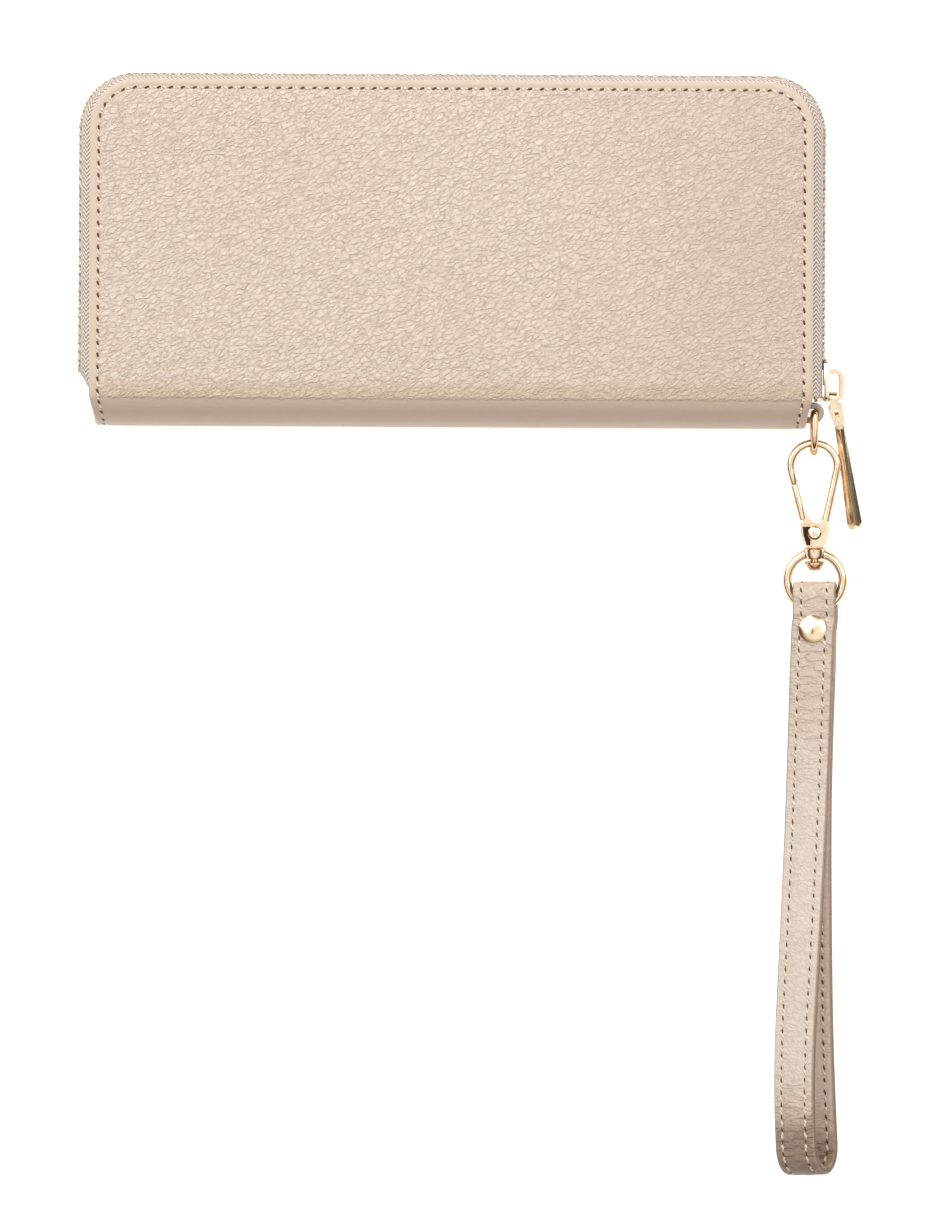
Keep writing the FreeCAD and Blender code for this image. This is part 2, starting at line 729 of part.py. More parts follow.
def tab_loop():
    """Leather loop at the corner, folded round the D ring's straight bar."""
    z0 = MID_Z - TAB_HEIGHT / 2
    z1 = z0 + TAB_HEIGHT
    shapes = []
    for r in (TAB_GAP_R + TAB_T, TAB_GAP_R):
        round_end = cylinder(V(TAB_X, TAB_Y, z0), V(TAB_X, TAB_Y, z1), r)
        shapes.append(round_end.fuse(box(TAB_ROOT_X, TAB_X, TAB_Y - r, TAB_Y + r, z0, z1)))
    return shapes[0].cut(shapes[1]).removeSplitter()


def tab_filler():
    """Filler sewn between the tab's legs, standing on the spine leather."""
    z1 = MID_Z + TAB_HEIGHT / 2
    block = box(TAB_ROOT_X, FILLER_END_X, TAB_Y - TAB_GAP_R, TAB_Y + TAB_GAP_R, LEATHER_T, z1)
    above_floor = box(TAB_ROOT_X, HALF_X, SPINE_Y, TOP_Y, 0, LEATHER_T)
    pieces = block.cut(cover_section(0, LEATHER_T).fuse(above_floor)).Solids
    return max(pieces, key=lambda solid: solid.BoundBox.ZMax)


def corner_ring():
    """D ring: straight bar in the tab, two legs and a half-round bow."""
    z0 = MID_Z - D_HALF
    z1 = MID_Z + D_HALF
    c = D_WIRE_R
    path = [
        V(D_X, TAB_Y - c, z1), V(D_X, TAB_Y, z1 - c), V(D_X, TAB_Y, z0 + c), V(D_X, TAB_Y - c, z0),
    ]
    for k in range(D_STEPS + 1):
        a = math.pi * k / D_STEPS
        path.append(V(D_X, D_ARC_Y - D_HALF * math.sin(a), MID_Z - D_HALF * math.cos(a)))
    return bent_wire(path, D_WIRE_R, V(1, 0, 0), True)


def hook_slope():
    """Downward slope of the hook, in degrees."""
    return math.degrees(math.asin((HOOK_TOP_Z - RING_LOW_Z) / (RING_CENTRE_S + RING_R)))


def hook_placement(twist=0.0):
    """From the hook's own frame to where it hangs from the D ring."""
    turn = FreeCAD.Rotation(Z_AXIS, HOOK_YAW).multiply(FreeCAD.Rotation(V(1, 0, 0), hook_slope()))
    turn = turn.multiply(FreeCAD.Rotation(V(0, 1, 0), -twist))
    return FreeCAD.Placement(V(HOOK_TOP[0], HOOK_TOP[1], HOOK_TOP_Z), turn)


def placed(shape, twist=0.0):
    """A piece drawn in the hook's frame, put in its place."""
    shape.Placement = hook_placement(twist).multiply(shape.Placement)
    return shape


def arm_tangent():
    """Where an arm leaves the bow, as (x, s)."""
    ds = HOOK_NECK_S - BOW_R
    a = math.atan2(ds, HOOK_NECK_X) - math.acos(BOW_R / math.hypot(ds, HOOK_NECK_X))
    return BOW_R * math.cos(a), BOW_R + BOW_R * math.sin(a)


def arm_x(s):
    """Distance of an arm's middle from the hook's axis, at a distance down the hook."""
    tx, ts = arm_tangent()
    return tx + (HOOK_NECK_X - tx) * (s - ts) / (HOOK_NECK_S - ts)


def hook_frame():
    """Bow and fixed arm in one bent wire, ending in the slotted plate."""
    tx, ts = arm_tangent()
    path = [V(-arm_x(HOOK_NOSE_S), -HOOK_NOSE_S, 0)]
    start = math.atan2(BOW_R - ts, tx)
    for k in range(BOW_STEPS + 1):
        a = math.pi - start + (2 * start - math.pi) * k / BOW_STEPS
        path.append(V(BOW_R * math.cos(a), BOW_R * math.sin(a) - BOW_R, 0))
    low_s = HOOK_NECK_S + HOOK_PLATE_T / 2
    path.append(V(arm_x(low_s), -low_s, 0))
    wire = bent_wire(path, HOOK_WIRE_R, Z_AXIS)
    z = HOOK_PLATE_T / 2
    sides = [(HOOK_NECK_S, HOOK_NECK_X + HOOK_WIRE_R)] + HOOK_PLATE_SIDES
    outline = [(-x, s) for s, x in sides] + [(x, s) for s, x in sides[::-1]]
    plate = prism([V(x, -s, -z) for x, s in outline], V(0, 0, 2 * z))
    slot_s0, slot_s1 = HOOK_SLOT_S
    slot = box(-BOW_R, HOOK_SLOT_END_X, -slot_s1, -slot_s0, -GATE_SLOT_HALF, GATE_SLOT_HALF)
    return fused([wire, plate]).cut(slot).cut(pivot_bore())


def pivot_bore():
    """Hole for the gate's rivet."""
    z = HOOK_PLATE_T
    return cylinder(V(0, -GATE_PIVOT_S, -z), V(0, -GATE_PIVOT_S, z), PIVOT_BORE_R)


def gate():
    """Sprung gate: round arm up to the nose, flat tongue down to its rivet."""
    top = V(-arm_x(GATE_END_S), -GATE_END_S, 0)
    foot = V(-arm_x(GATE_FOOT_S), -GATE_FOOT_S, 0)
    arm = cylinder(top, foot, GATE_WIRE_R)
    half = V(0, 0, GATE_TONGUE_HALF)
    tongue = prism([V(x, -s, 0) - half for x, s in GATE_TONGUE], half * 2)
    pivot = V(0, -GATE_PIVOT_S, 0)
    boss = cylinder(pivot - half, pivot + half, GATE_BOSS_R)
    return fused([arm, tongue, boss]).cut(pivot_bore())


def gate_rivet():
    """Rivet that the gate turns on."""
    half = V(0, 0, HOOK_PLATE_T / 2)
    radius, height = GATE_RIVET_HEAD
    head = V(0, 0, height)
    pivot = V(0, -GATE_PIVOT_S, 0)
    shapes = [cylinder(pivot - half, pivot + half, GATE_RIVET_R)]
    shapes.append(cylinder(pivot + half, pivot + half + head, radius))
    shapes.append(cylinder(pivot - half - head, pivot - half, radius))
    return fused(shapes)


def gate_spring():
    """Leaf spring in the plate's slot, behind the gate's rivet."""
    x = HOOK_SLOT_END_X
    return box(x - SPRING_T, x, -SPRING_S[1], -SPRING_S[0], -SPRING_HALF, SPRING_HALF)


def swivel_pin():
    """Shank from the plate through the collar, with its peened head."""
    end = V(0, -WASHER_S1, 0)
    shank = cylinder(V(0, -HOOK_PLATE_END_S, 0), end, SWIVEL_R)
    head = Part.makeCone(SWIVEL_HEAD_R, SWIVEL_R, HEAD_END_S - WASHER_S1, end, V(0, -1, 0))
    return fused([shank, head])


def swivel_washer():
    """Washer under the peened head."""
    start = V(0, -WASHER_S0, 0)
    end = V(0, -WASHER_S1, 0)
    return cylinder(start, end, WASHER_R).cut(cylinder(start, end, SWIVEL_R + RIVET_GAP))


def strap_ring():
    """Round ring with the swivel's collar at its top."""
    path = []
    for k in range(RING_STEPS):
        a = 2 * math.pi * k / RING_STEPS
        path.append(V(RING_R * math.cos(a), RING_R * math.sin(a) - RING_CENTRE_S, 0))
    ring = bent_wire(path, RING_WIRE_R, Z_AXIS, True)
    start = V(0, -COLLAR_S0, 0)
    end = V(0, -COLLAR_S1, 0)
    along = V(0, -1, 0)
    bore = cylinder(start - along, end + along, SWIVEL_R + SWIVEL_GAP)
    return fused([ring, cylinder(start, end, COLLAR_R)]).cut(bore)


# Wrist strap


def strap_lift(twist, half):
    """Height of the strap's middle line where its lowest edge just clears the table."""
    a = math.radians(twist)
    return STRAP_FLOOR + (half + STRAP_T / 2) * math.cos(a) + STRAP_W / 2 * math.sin(a)


def mid_line():
    """The strap's middle line from the ring down: place, twist and half separation."""
    line = []
    for s in (TURN_END_S, TAIL_S):
        line.append((hook_placement().multVec(V(0, -s, 0)), RING_TWIST, TURN_HALF))
    for x, y, twist, half in STRAP_MID:
        line.append((V(x, y, strap_lift(twist, half)), twist, half))
    return line


def strap_axes(twist, tangent):
    """Width direction and face normal of the strap, square to its run."""
    a = math.radians(twist)
    width = V(math.cos(a), 0, math.sin(a))
    width = width.sub(tangent * width.dot(tangent)).normalize()
    return width, width.cross(tangent).normalize() * -1


def station_axes(line, i):
    """Place, width, normal and run at one station of the middle line."""
    here, twist, half = line[i]
    before = line[max(i - 1, 0)][0]
    after = line[min(i + 1, len(line) - 1)][0]
    tangent = after.sub(before).normalize()
    if i == 0:
        tangent = hook_placement().Rotation.multVec(V(0, -1, 0))
    width, normal = strap_axes(twist, tangent)
    return here, width, normal, tangent, half


def strip_section(centre, width, thick_dir, thickness):
    """Corners of a rectangle across the strap."""
    w = width * (STRAP_W / 2)
    t = thick_dir * (thickness / 2)
    return [centre - w - t, centre + w - t, centre + w + t, centre - w + t]


def strap_loop():
    """The long loop: front strand down, round the bottom bend, and back up."""
    line = mid_line()
    front = []
    back = []
    for i in range(len(line)):
        here, width, normal, tangent, half = station_axes(line, i)
        front.append(strip_section(here + normal * half, width, normal, STRAP_T))
        back.append(strip_section(here - normal * half, width, normal * -1, STRAP_T))
    bend = []
    for k in range(1, BEND_STEPS):
        a = math.pi * k / BEND_STEPS
        out = normal * math.cos(a) + tangent * math.sin(a)
        bend.append(strip_section(here + out * half, width, out, STRAP_T))
    return skin(front + bend + back[::-1]).cut(rivet_bore())


def strap_turn():
    """Where the strap turns round the ring, above the rivet."""
    across = V(1, 0, 0)
    start = V(0, -TURN_END_S, 0)
    centre = V(0, -TURN_CENTRE_S, 0)
    sections = [strip_section(start + Z_AXIS * TURN_HALF, across, Z_AXIS, STRAP_T)]
    for k in range(BEND_STEPS + 1):
        a = math.pi * k / BEND_STEPS
        out = V(0, math.sin(a), math.cos(a))
        sections.append(strip_section(centre + out * TURN_HALF, across, out, STRAP_T))
    sections.append(strip_section(start - Z_AXIS * TURN_HALF, across, Z_AXIS * -1, STRAP_T))
    return placed(skin(sections), RING_TWIST)


def strap_tail():
    """Third layer, between the strands at the rivet."""
    line = mid_line()
    thickness = 2 * TURN_HALF - STRAP_T - TAIL_GAP
    sections = []
    for i in range(1, TAIL_STATIONS + 2):
        here, width, normal, _, _ = station_axes(line, i)
        sections.append(strip_section(here, width, normal, thickness))
    return skin(sections).cut(rivet_bore())


def rivet_axis():
    """Place and direction of the strap's rivet."""
    here, _, normal, _, half = station_axes(mid_line(), 2)
    return here, normal, half + STRAP_T / 2


def rivet_bore():
    """Hole through all the layers, with a flat seat at each end."""
    here, normal, reach = rivet_axis()
    face = normal * reach
    clear = normal * RIVET_H
    shapes = [cylinder(here - face - clear, here + face + clear, POST_R + RIVET_GAP)]
    shapes.append(cylinder(here + face, here + face + clear, RIVET_R + SEAT_GAP))
    shapes.append(cylinder(here - face - clear, here - face, RIVET_R + SEAT_GAP))
    return fused(shapes)


def rivet_cap():
    """Domed cap on the front strand, turned from a stepped curve."""
    here, normal, reach = rivet_axis()
    sphere_r = (RIVET_R ** 2 + RIVET_H ** 2) / (2 * RIVET_H)
    half_angle = math.asin(RIVET_R / sphere_r)
    profile = [V(0, 0, 0)]
    for k in range(DOME_STEPS + 1):
        a = half_angle * (1 - k / DOME_STEPS)
        profile.append(V(sphere_r * math.sin(a), 0, RIVET_H - sphere_r * (1 - math.cos(a))))
    face = Part.Face(Part.makePolygon(profile + profile[:1]))
    dome = face.revolve(V(0, 0, 0), Z_AXIS, 360)
    dome.Placement = FreeCAD.Placement(here + normal * reach, FreeCAD.Rotation(Z_AXIS, normal))
    return dome


def rivet_post():
    """Post through the layers, with its flat foot on the rear strand."""
    here, normal, reach = rivet_axis()
    face = normal * reach
    post = cylinder(here - face, here + face, POST_R)
    foot = cylinder(here - face - normal * RIVET_FOOT_T, here - face, RIVET_R)
    return fused([post, foot])


def main():
    """Build and write every sub-part."""
    os.makedirs("parts", exist_ok=True)
    leather = cover_leather()
    export("back_cover", leather)
    export("front_cover", flip(leather))
    export("spine_fold", spine_fold())
    board = inside_panel(LEATHER_T, LEATHER_T + BOARD_T)
    export("back_board", board)
    export("front_board", flip(board))
    lining = inside_panel(LEATHER_T + BOARD_T, COVER_STACK)
    export("back_lining", lining)
    export("front_lining", flip(lining))
    for i in range(POCKET_COUNT):
        pocket = card_pocket(i)
        export("back_card_pocket_%d" % (i + 1), pocket)
        export("front_card_pocket_%d" % (i + 1), flip(pocket))
    tape = zip_tape()
    export("back_zip_tape", tape)
    export("front_zip_tape", flip(tape))
    long_run = ("left", "left_corner", "top", "right_corner")
    export("back_zip_teeth", teeth(long_run, 0.25))
    export("front_zip_teeth", flip(teeth(long_run, 0.75)))
    export("back_zip_teeth_right", teeth(("right",), 0.25))
    export("front_zip_teeth_right", flip(teeth(("right",), 0.75)))
    stop = zip_stop()
    export("back_zip_stop", stop)
    export("front_zip_stop", flip(stop))
    export("zip_slider", slider_body())
    export("pull_link", pull_link())
    export("pull_pin", pull_pin())
    export("pull_bar", pull_bar())
    for name, side in (("left", -1), ("right", 1)):
        fold = gusset(side)
        export("back_gusset_" + name, fold)
        export("front_gusset_" + name, flip(fold))
    wall = pouch_wall()
    export("coin_pouch_back", wall)
    export("coin_pouch_front", flip(wall))
    strip = coin_tape()
    export("coin_zip_tape", Part.makeCompound([strip, flip(strip)]))
    export("coin_zip_teeth", Part.makeCompound([coin_teeth(0.25, False), coin_teeth(0.75, True)]))
    export("coin_zip_slider", coin_slider())
    export("coin_zip_pull", coin_pull())
    export("corner_tab", tab_loop())
    export("corner_tab_filler", tab_filler())
    export("corner_ring", corner_ring())
    export("snap_hook_frame", placed(hook_frame()))
    export("snap_hook_gate", placed(gate()))
    export("gate_rivet", placed(gate_rivet()))
    export("gate_spring", placed(gate_spring()))
    export("swivel_pin", placed(swivel_pin()))
    export("swivel_washer", placed(swivel_washer()))
    export("strap_ring", placed(strap_ring(), RING_TWIST))
    export("wrist_strap", strap_loop())
    export("strap_turn", strap_turn())
    export("strap_tail", strap_tail())
    export("strap_rivet_cap", rivet_cap())
    export("strap_rivet_post", rivet_post())


main()
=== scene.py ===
import json
import math

import bmesh
import bpy
from mathutils import Matrix, Vector
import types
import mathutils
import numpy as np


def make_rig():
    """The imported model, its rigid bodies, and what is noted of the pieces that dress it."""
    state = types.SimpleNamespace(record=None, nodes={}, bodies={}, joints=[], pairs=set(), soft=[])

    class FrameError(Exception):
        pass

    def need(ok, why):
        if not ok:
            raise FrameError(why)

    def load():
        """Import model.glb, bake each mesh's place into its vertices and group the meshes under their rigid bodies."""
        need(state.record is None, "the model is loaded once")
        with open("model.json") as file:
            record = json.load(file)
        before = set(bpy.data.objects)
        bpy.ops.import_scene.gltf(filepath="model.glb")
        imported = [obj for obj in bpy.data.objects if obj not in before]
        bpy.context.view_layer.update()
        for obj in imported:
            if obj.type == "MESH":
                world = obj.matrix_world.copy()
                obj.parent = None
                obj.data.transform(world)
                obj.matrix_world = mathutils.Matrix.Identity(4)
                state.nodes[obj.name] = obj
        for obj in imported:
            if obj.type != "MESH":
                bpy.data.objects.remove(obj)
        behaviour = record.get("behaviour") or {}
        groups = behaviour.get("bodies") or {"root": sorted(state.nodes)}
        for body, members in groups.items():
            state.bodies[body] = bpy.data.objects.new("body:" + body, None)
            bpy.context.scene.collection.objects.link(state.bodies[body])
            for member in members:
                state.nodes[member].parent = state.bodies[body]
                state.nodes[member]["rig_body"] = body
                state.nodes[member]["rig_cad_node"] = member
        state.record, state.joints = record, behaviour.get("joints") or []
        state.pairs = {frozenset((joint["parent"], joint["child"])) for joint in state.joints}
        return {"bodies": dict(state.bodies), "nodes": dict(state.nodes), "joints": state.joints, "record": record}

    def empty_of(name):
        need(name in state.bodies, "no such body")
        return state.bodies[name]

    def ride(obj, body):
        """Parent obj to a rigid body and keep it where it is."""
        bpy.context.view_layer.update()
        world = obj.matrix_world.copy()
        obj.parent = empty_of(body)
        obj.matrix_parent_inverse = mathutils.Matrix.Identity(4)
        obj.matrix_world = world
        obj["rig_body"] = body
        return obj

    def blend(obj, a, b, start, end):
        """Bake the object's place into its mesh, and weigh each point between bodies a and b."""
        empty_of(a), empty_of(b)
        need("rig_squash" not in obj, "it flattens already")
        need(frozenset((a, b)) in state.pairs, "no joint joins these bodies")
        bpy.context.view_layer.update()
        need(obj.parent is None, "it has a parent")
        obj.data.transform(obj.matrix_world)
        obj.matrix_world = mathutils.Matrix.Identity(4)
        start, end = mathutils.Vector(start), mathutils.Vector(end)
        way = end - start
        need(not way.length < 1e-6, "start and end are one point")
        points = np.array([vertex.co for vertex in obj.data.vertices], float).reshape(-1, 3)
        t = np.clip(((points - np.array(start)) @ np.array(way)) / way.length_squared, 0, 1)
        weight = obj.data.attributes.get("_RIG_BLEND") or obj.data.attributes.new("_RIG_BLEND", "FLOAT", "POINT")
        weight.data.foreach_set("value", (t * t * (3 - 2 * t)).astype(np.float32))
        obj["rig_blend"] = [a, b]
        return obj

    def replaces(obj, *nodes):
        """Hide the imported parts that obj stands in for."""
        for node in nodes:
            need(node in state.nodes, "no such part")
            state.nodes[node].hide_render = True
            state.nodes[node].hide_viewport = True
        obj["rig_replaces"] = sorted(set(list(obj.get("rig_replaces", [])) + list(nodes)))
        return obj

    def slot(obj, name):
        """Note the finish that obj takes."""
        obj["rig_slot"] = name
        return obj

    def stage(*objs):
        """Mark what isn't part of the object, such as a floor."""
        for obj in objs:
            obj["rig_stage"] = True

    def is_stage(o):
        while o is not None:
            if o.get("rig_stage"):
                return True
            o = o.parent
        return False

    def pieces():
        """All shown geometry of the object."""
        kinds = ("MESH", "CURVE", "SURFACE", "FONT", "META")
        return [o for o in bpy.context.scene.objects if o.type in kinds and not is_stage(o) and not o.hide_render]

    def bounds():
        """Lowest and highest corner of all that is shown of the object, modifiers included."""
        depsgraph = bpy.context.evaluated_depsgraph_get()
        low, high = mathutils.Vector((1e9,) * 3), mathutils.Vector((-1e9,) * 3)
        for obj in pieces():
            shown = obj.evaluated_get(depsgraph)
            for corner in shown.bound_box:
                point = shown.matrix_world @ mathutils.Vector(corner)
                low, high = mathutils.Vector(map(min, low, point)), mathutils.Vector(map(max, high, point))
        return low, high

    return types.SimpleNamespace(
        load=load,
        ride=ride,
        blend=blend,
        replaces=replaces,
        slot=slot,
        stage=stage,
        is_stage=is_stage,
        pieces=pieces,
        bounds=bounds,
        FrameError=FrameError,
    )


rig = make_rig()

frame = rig.load()
CAD_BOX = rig.bounds()

bl_info = {
    "name": "Zip Around Wallet",
    "version": (1, 0, 0),
    "blender": (4, 5, 0),
    "location": "3D View > Sidebar > Wallet",
    "description": "Grained leather, woven zip tape and gilt hardware for a zip around wallet",
    "category": "Object",
}

# Sizes in millimetres, in the frame of the solids: x along the spine, y from the spine to the top
# edge, z up out of the back cover.
MM = 0.001
HALF_X = 96.4
TOP_Y = 46.0
THICKNESS = 21.0
MID_Z = 10.5
CORNER_R = 12.5
SPINE_R = 9.0
BEND_Y = -37.3
SPINE_INSET = 1.5
LEATHER_T = 1.2
COVER_STACK = 2.4
STITCH_INSET = 2.4
# The cover's edge from the middle of its outside, round the turned edge, to the middle of its
# inside: inset from the edge, depth below the outside.
EDGE_PROFILE = [
    (12.5, 0.0), (8.5, 0.0), (5.5, 0.0), (3.9, 0.02), (3.1, 0.1), (2.75, 0.24), (2.4, 0.36),
    (2.05, 0.26), (1.6, 0.1), (1.1, 0.05), (0.7, 0.12), (0.35, 0.3), (0.12, 0.58), (0.0, 0.95),
    (0.0, 1.5), (0.1, 1.95), (0.45, 2.27), (1.2, 2.4), (7.0, 2.4), (7.0, 1.2), (12.5, 1.2),
]
SIDE_ROWS = 24
TOP_COLUMNS = 56
CORNER_STEPS = 8

# Thread and awl holes lie this far below the leather's outside, in their groove.
STITCH_SEAT = 0.3
# The spine's leather follows the back below the first point and the front above the second, in metres.
SPINE_BLEND = ((0, 0, 0.004), (0, 0, 0.017))
# The surface map holds a tenth of a metre in each unit.
UV_MM = 100
# The grain's pebbles lean this far from the spine's direction, in degrees.
GRAIN_LEAN = 30
ROSE_GOLD = "#E8C3A2"
# What the camera sees: width in millimetres, and its middle.
VIEW_WIDTH = 324.0
VIEW_CENTRE = (5.47, -94.43)
# Real yarns are 0.25 mm apart in the tape and 0.2 mm in the lining. They are drawn this far apart, in
# mm, because finer ones vanish in the render.
YARN_PITCH = 1.15
TWILL_PITCH = 0.6

# Card pockets: thickness, outer side, top of the rearmost row and how far each row sits lower.
POCKET_T = 0.3
POCKET_X = 85.0
POCKET_TOP = 30.0
POCKET_STEP = 8.0
# The coin pouch's outside, from its own cover's outside.
POUCH_Z = MID_Z - 2.4

BULGE = {"left": 3.1, "top": 1.9, "right": 3.4}
CHAIN_HALF = 2.1
TOOTH_DEPTH = 1.8
TEETH_START_Y = -30.4
TAPE_T = 0.5
# The tape's ends, and where it reaches its full bulge on the left.
TAPE_LEFT_Y = -37.5
TAPE_RIGHT_Y = -38.0
TAPE_FULL_Y = -32.4
ZIP_ROWS = 14

D_X = 97.1
D_ARC_Y = -47.7
D_HALF = 4.7
TAB_Y = -42.0

HOOK_TOP = (97.0, -50.05, 9.2)
HOOK_YAW = 1.1
HOOK_SLOPE = 5.947
RING_TWIST = 8.0
BOW_R = 6.2
NECK_S = 21.2
NECK_X = 2.9
PIVOT_S = 24.0
GATE_TONGUE_HALF = 0.6
RECESS_Z = 1.2
RING_CENTRE_S = 36.9
RING_R = 7.5

STRAP_W = 11.5
STRAP_T = 2.2
TURN_CENTRE_S = 40.7
TURN_END_S = 45.5
TAIL_S = 47.5
TURN_HALF = 2.4
# Leather used up by the turn before the strap's own begins.
STRAP_START = 14.0
STRAP_FLOOR = 0.1
# The inner faces are too close together for thread above this place.
INNER_STITCH_Y = -128.0
STRAP_MID = [
    (97.55, -99.8, 8.6, 2.4), (97.40, -106.0, 10.0, 2.4), (97.20, -112.8, 11.0, 2.4),
    (96.90, -124.0, 12.5, 1.9), (96.50, -140.0, 15.0, 1.8), (96.20, -155.0, 17.5, 2.4),
    (95.90, -172.0, 20.0, 3.5), (95.60, -190.0, 22.5, 4.7), (95.40, -208.0, 25.0, 5.8),
    (95.60, -224.0, 27.0, 6.4), (96.20, -238.0, 28.0, 6.4),
]


def linear(code):
    """Linear colour, with alpha, from an sRGB hex code."""
    values = [int(code[i:i + 2], 16) / 255 for i in (1, 3, 5)]
    return tuple(v / 12.92 if v <= 0.04045 else ((v + 0.055) / 1.055) ** 2.4 for v in values) + (1.0,)


def colour_property(name, code, description):
    """A colour that the user may change."""
    return bpy.props.FloatVectorProperty(
        name=name, description=description, subtype="COLOR", size=4, min=0, max=1, default=linear(code)
    )


def length_property(name, value, description):
    """A length in millimetres that the user may change."""
    return bpy.props.FloatProperty(name=name, description=description, default=value, min=0.01)


class WalletLeather(bpy.types.PropertyGroup):
    """Hide of the covers, its grain and its stitching."""

    hide: colour_property("Hide", "#F6E5D3", "Grained cowhide of the covers")
    # Painted shade: the creases are coloured darker to stand for the shade in the hollows of the grain.
    crease: colour_property("Creases", "#DAC6B2", "Hollows between the pebbles of the grain")
    # The spine colour is partly the stretched leather's own tone and partly painted shade where the spine curves away.
    band: colour_property("Spine", "#CEB8A6", "Stretched leather round the spine")
    pebble: length_property("Pebble size", 1.15, "Width of one pebble of the grain, in mm")
    relief: length_property("Grain depth", 0.55, "Depth of the creases, in mm")
    stitch: length_property("Stitch length", 3.2, "Distance between needle holes, in mm")
    thread: colour_property("Thread", "#F6E9D9", "Waxed thread of the covers")


class WalletZip(bpy.types.PropertyGroup):
    """Tape and teeth of the zip."""

    tape: colour_property("Tape", "#EED8CB", "Woven tape")
    fleck: colour_property("Tape flecks", "#FBF3ED", "Raised yarns of the tape")
    tooth: colour_property("Teeth", "#C9BDAF", "Plated teeth")
    pitch: length_property("Tooth pitch", 2.3, "Distance between teeth, in mm")


class WalletMetal(bpy.types.PropertyGroup):
    """Gilt plating of the hardware."""

    gilt: colour_property("Gilt", "#F4E3C6", "Pale gold plating")
    roughness: bpy.props.FloatProperty(
        name="Roughness", description="Polish of the plating", default=0.16, min=0, max=1, subtype="FACTOR"
    )


class WalletStrap(bpy.types.PropertyGroup):
    """Wrist strap."""

    hide: colour_property("Strap hide", "#EFE2D6", "Smooth cowhide of the strap")
    edge: colour_property("Painted edge", "#B49B86", "Edge paint of the strap")
    stitch: length_property("Strap stitch", 3.3, "Distance between needle holes, in mm")
    inset: length_property("Stitch inset", 2.3, "Distance from stitching to edge, in mm")


class WalletStage(bpy.types.PropertyGroup):
    """Floor, lamps and camera."""

    key: bpy.props.FloatProperty(
        name="Key", description="Power of the large lamp", default=13.2, unit="POWER"
    )
    fill: bpy.props.FloatProperty(name="Fill", description="Strength of the room light", default=0.36, min=0)
    distance: bpy.props.FloatProperty(
        name="Camera height", description="Height of the camera", default=3.0, min=0.5, unit="LENGTH"
    )


SETTINGS = {
    "wallet_leather": WalletLeather,
    "wallet_zip": WalletZip,
    "wallet_metal": WalletMetal,
    "wallet_strap": WalletStrap,
    "wallet_stage": WalletStage,
}


def add(tree, kind, settings=None, inputs=None):
    """Adds a node, with its settings, and its inputs set or linked."""
    made = tree.nodes.new(kind)
    for key, value in (settings or {}).items():
        setattr(made, key, value)
    for key, value in (inputs or {}).items():
        if isinstance(value, bpy.types.NodeSocket):
            tree.links.new(value, made.inputs[key])
        else:
            made.inputs[key].default_value = value
    return made


def new_material(name, inputs):
    """A material with only its shader, whose plain values are set; returns all three."""
    made = bpy.data.materials.get(name)
    if made:
        return made, None, None
    made = bpy.data.materials.new(name)
    made.use_nodes = True
    tree = made.node_tree
    tree.nodes.clear()
    shader = add(tree, "ShaderNodeBsdfPrincipled", None, inputs)
    add(tree, "ShaderNodeOutputMaterial", None, {"Surface": shader.outputs["BSDF"]})
    return made, tree, shader


def surface_mm(tree):
    """The piece's own surface map, in millimetres."""
    flat = add(tree, "ShaderNodeUVMap", {"uv_map": "Surface"})
    size = (UV_MM, UV_MM, 1)
    return add(tree, "ShaderNodeMapping", None, {"Vector": flat.outputs["UV"], "Scale": size}).outputs[0]


def object_mm(tree):
    """The object's own coordinates, in millimetres."""
    place = add(tree, "ShaderNodeTexCoord")
    return add(
        tree, "ShaderNodeMapping", None, {"Vector": place.outputs["Object"], "Scale": (1000, 1000, 1000)}
    ).outputs[0]


def ramped(tree, fac, low, high, a=0.0, b=1.0):
    """Maps low..high smoothly to a..b."""
    return add(
        tree, "ShaderNodeMapRange", {"interpolation_type": "SMOOTHSTEP"},
        {"Value": fac, "From Min": low, "From Max": high, "To Min": a, "To Max": b},
    ).outputs[0]


def calc(tree, operation, a, b=0.0, c=0.0):
    """One sum of numbers."""
    return add(tree, "ShaderNodeMath", {"operation": operation}, {0: a, 1: b, 2: c}).outputs[0]


def mixed(tree, fac, a, b):
    """Mix of two colours."""
    return add(tree, "ShaderNodeMix", {"data_type": "RGBA"}, {0: fac, 6: a, 7: b}).outputs[2]


def painted(tree, shader, tint):
    """Sets the shader's colour."""
    tree.links.new(tint, shader.inputs["Base Color"])


def bumped(tree, shader, height, depth_mm):
    """Relief of the surface, with its real depth."""
    made = add(tree, "ShaderNodeBump", None, {"Height": height, "Distance": depth_mm * MM})
    tree.links.new(made.outputs[0], shader.inputs["Normal"])


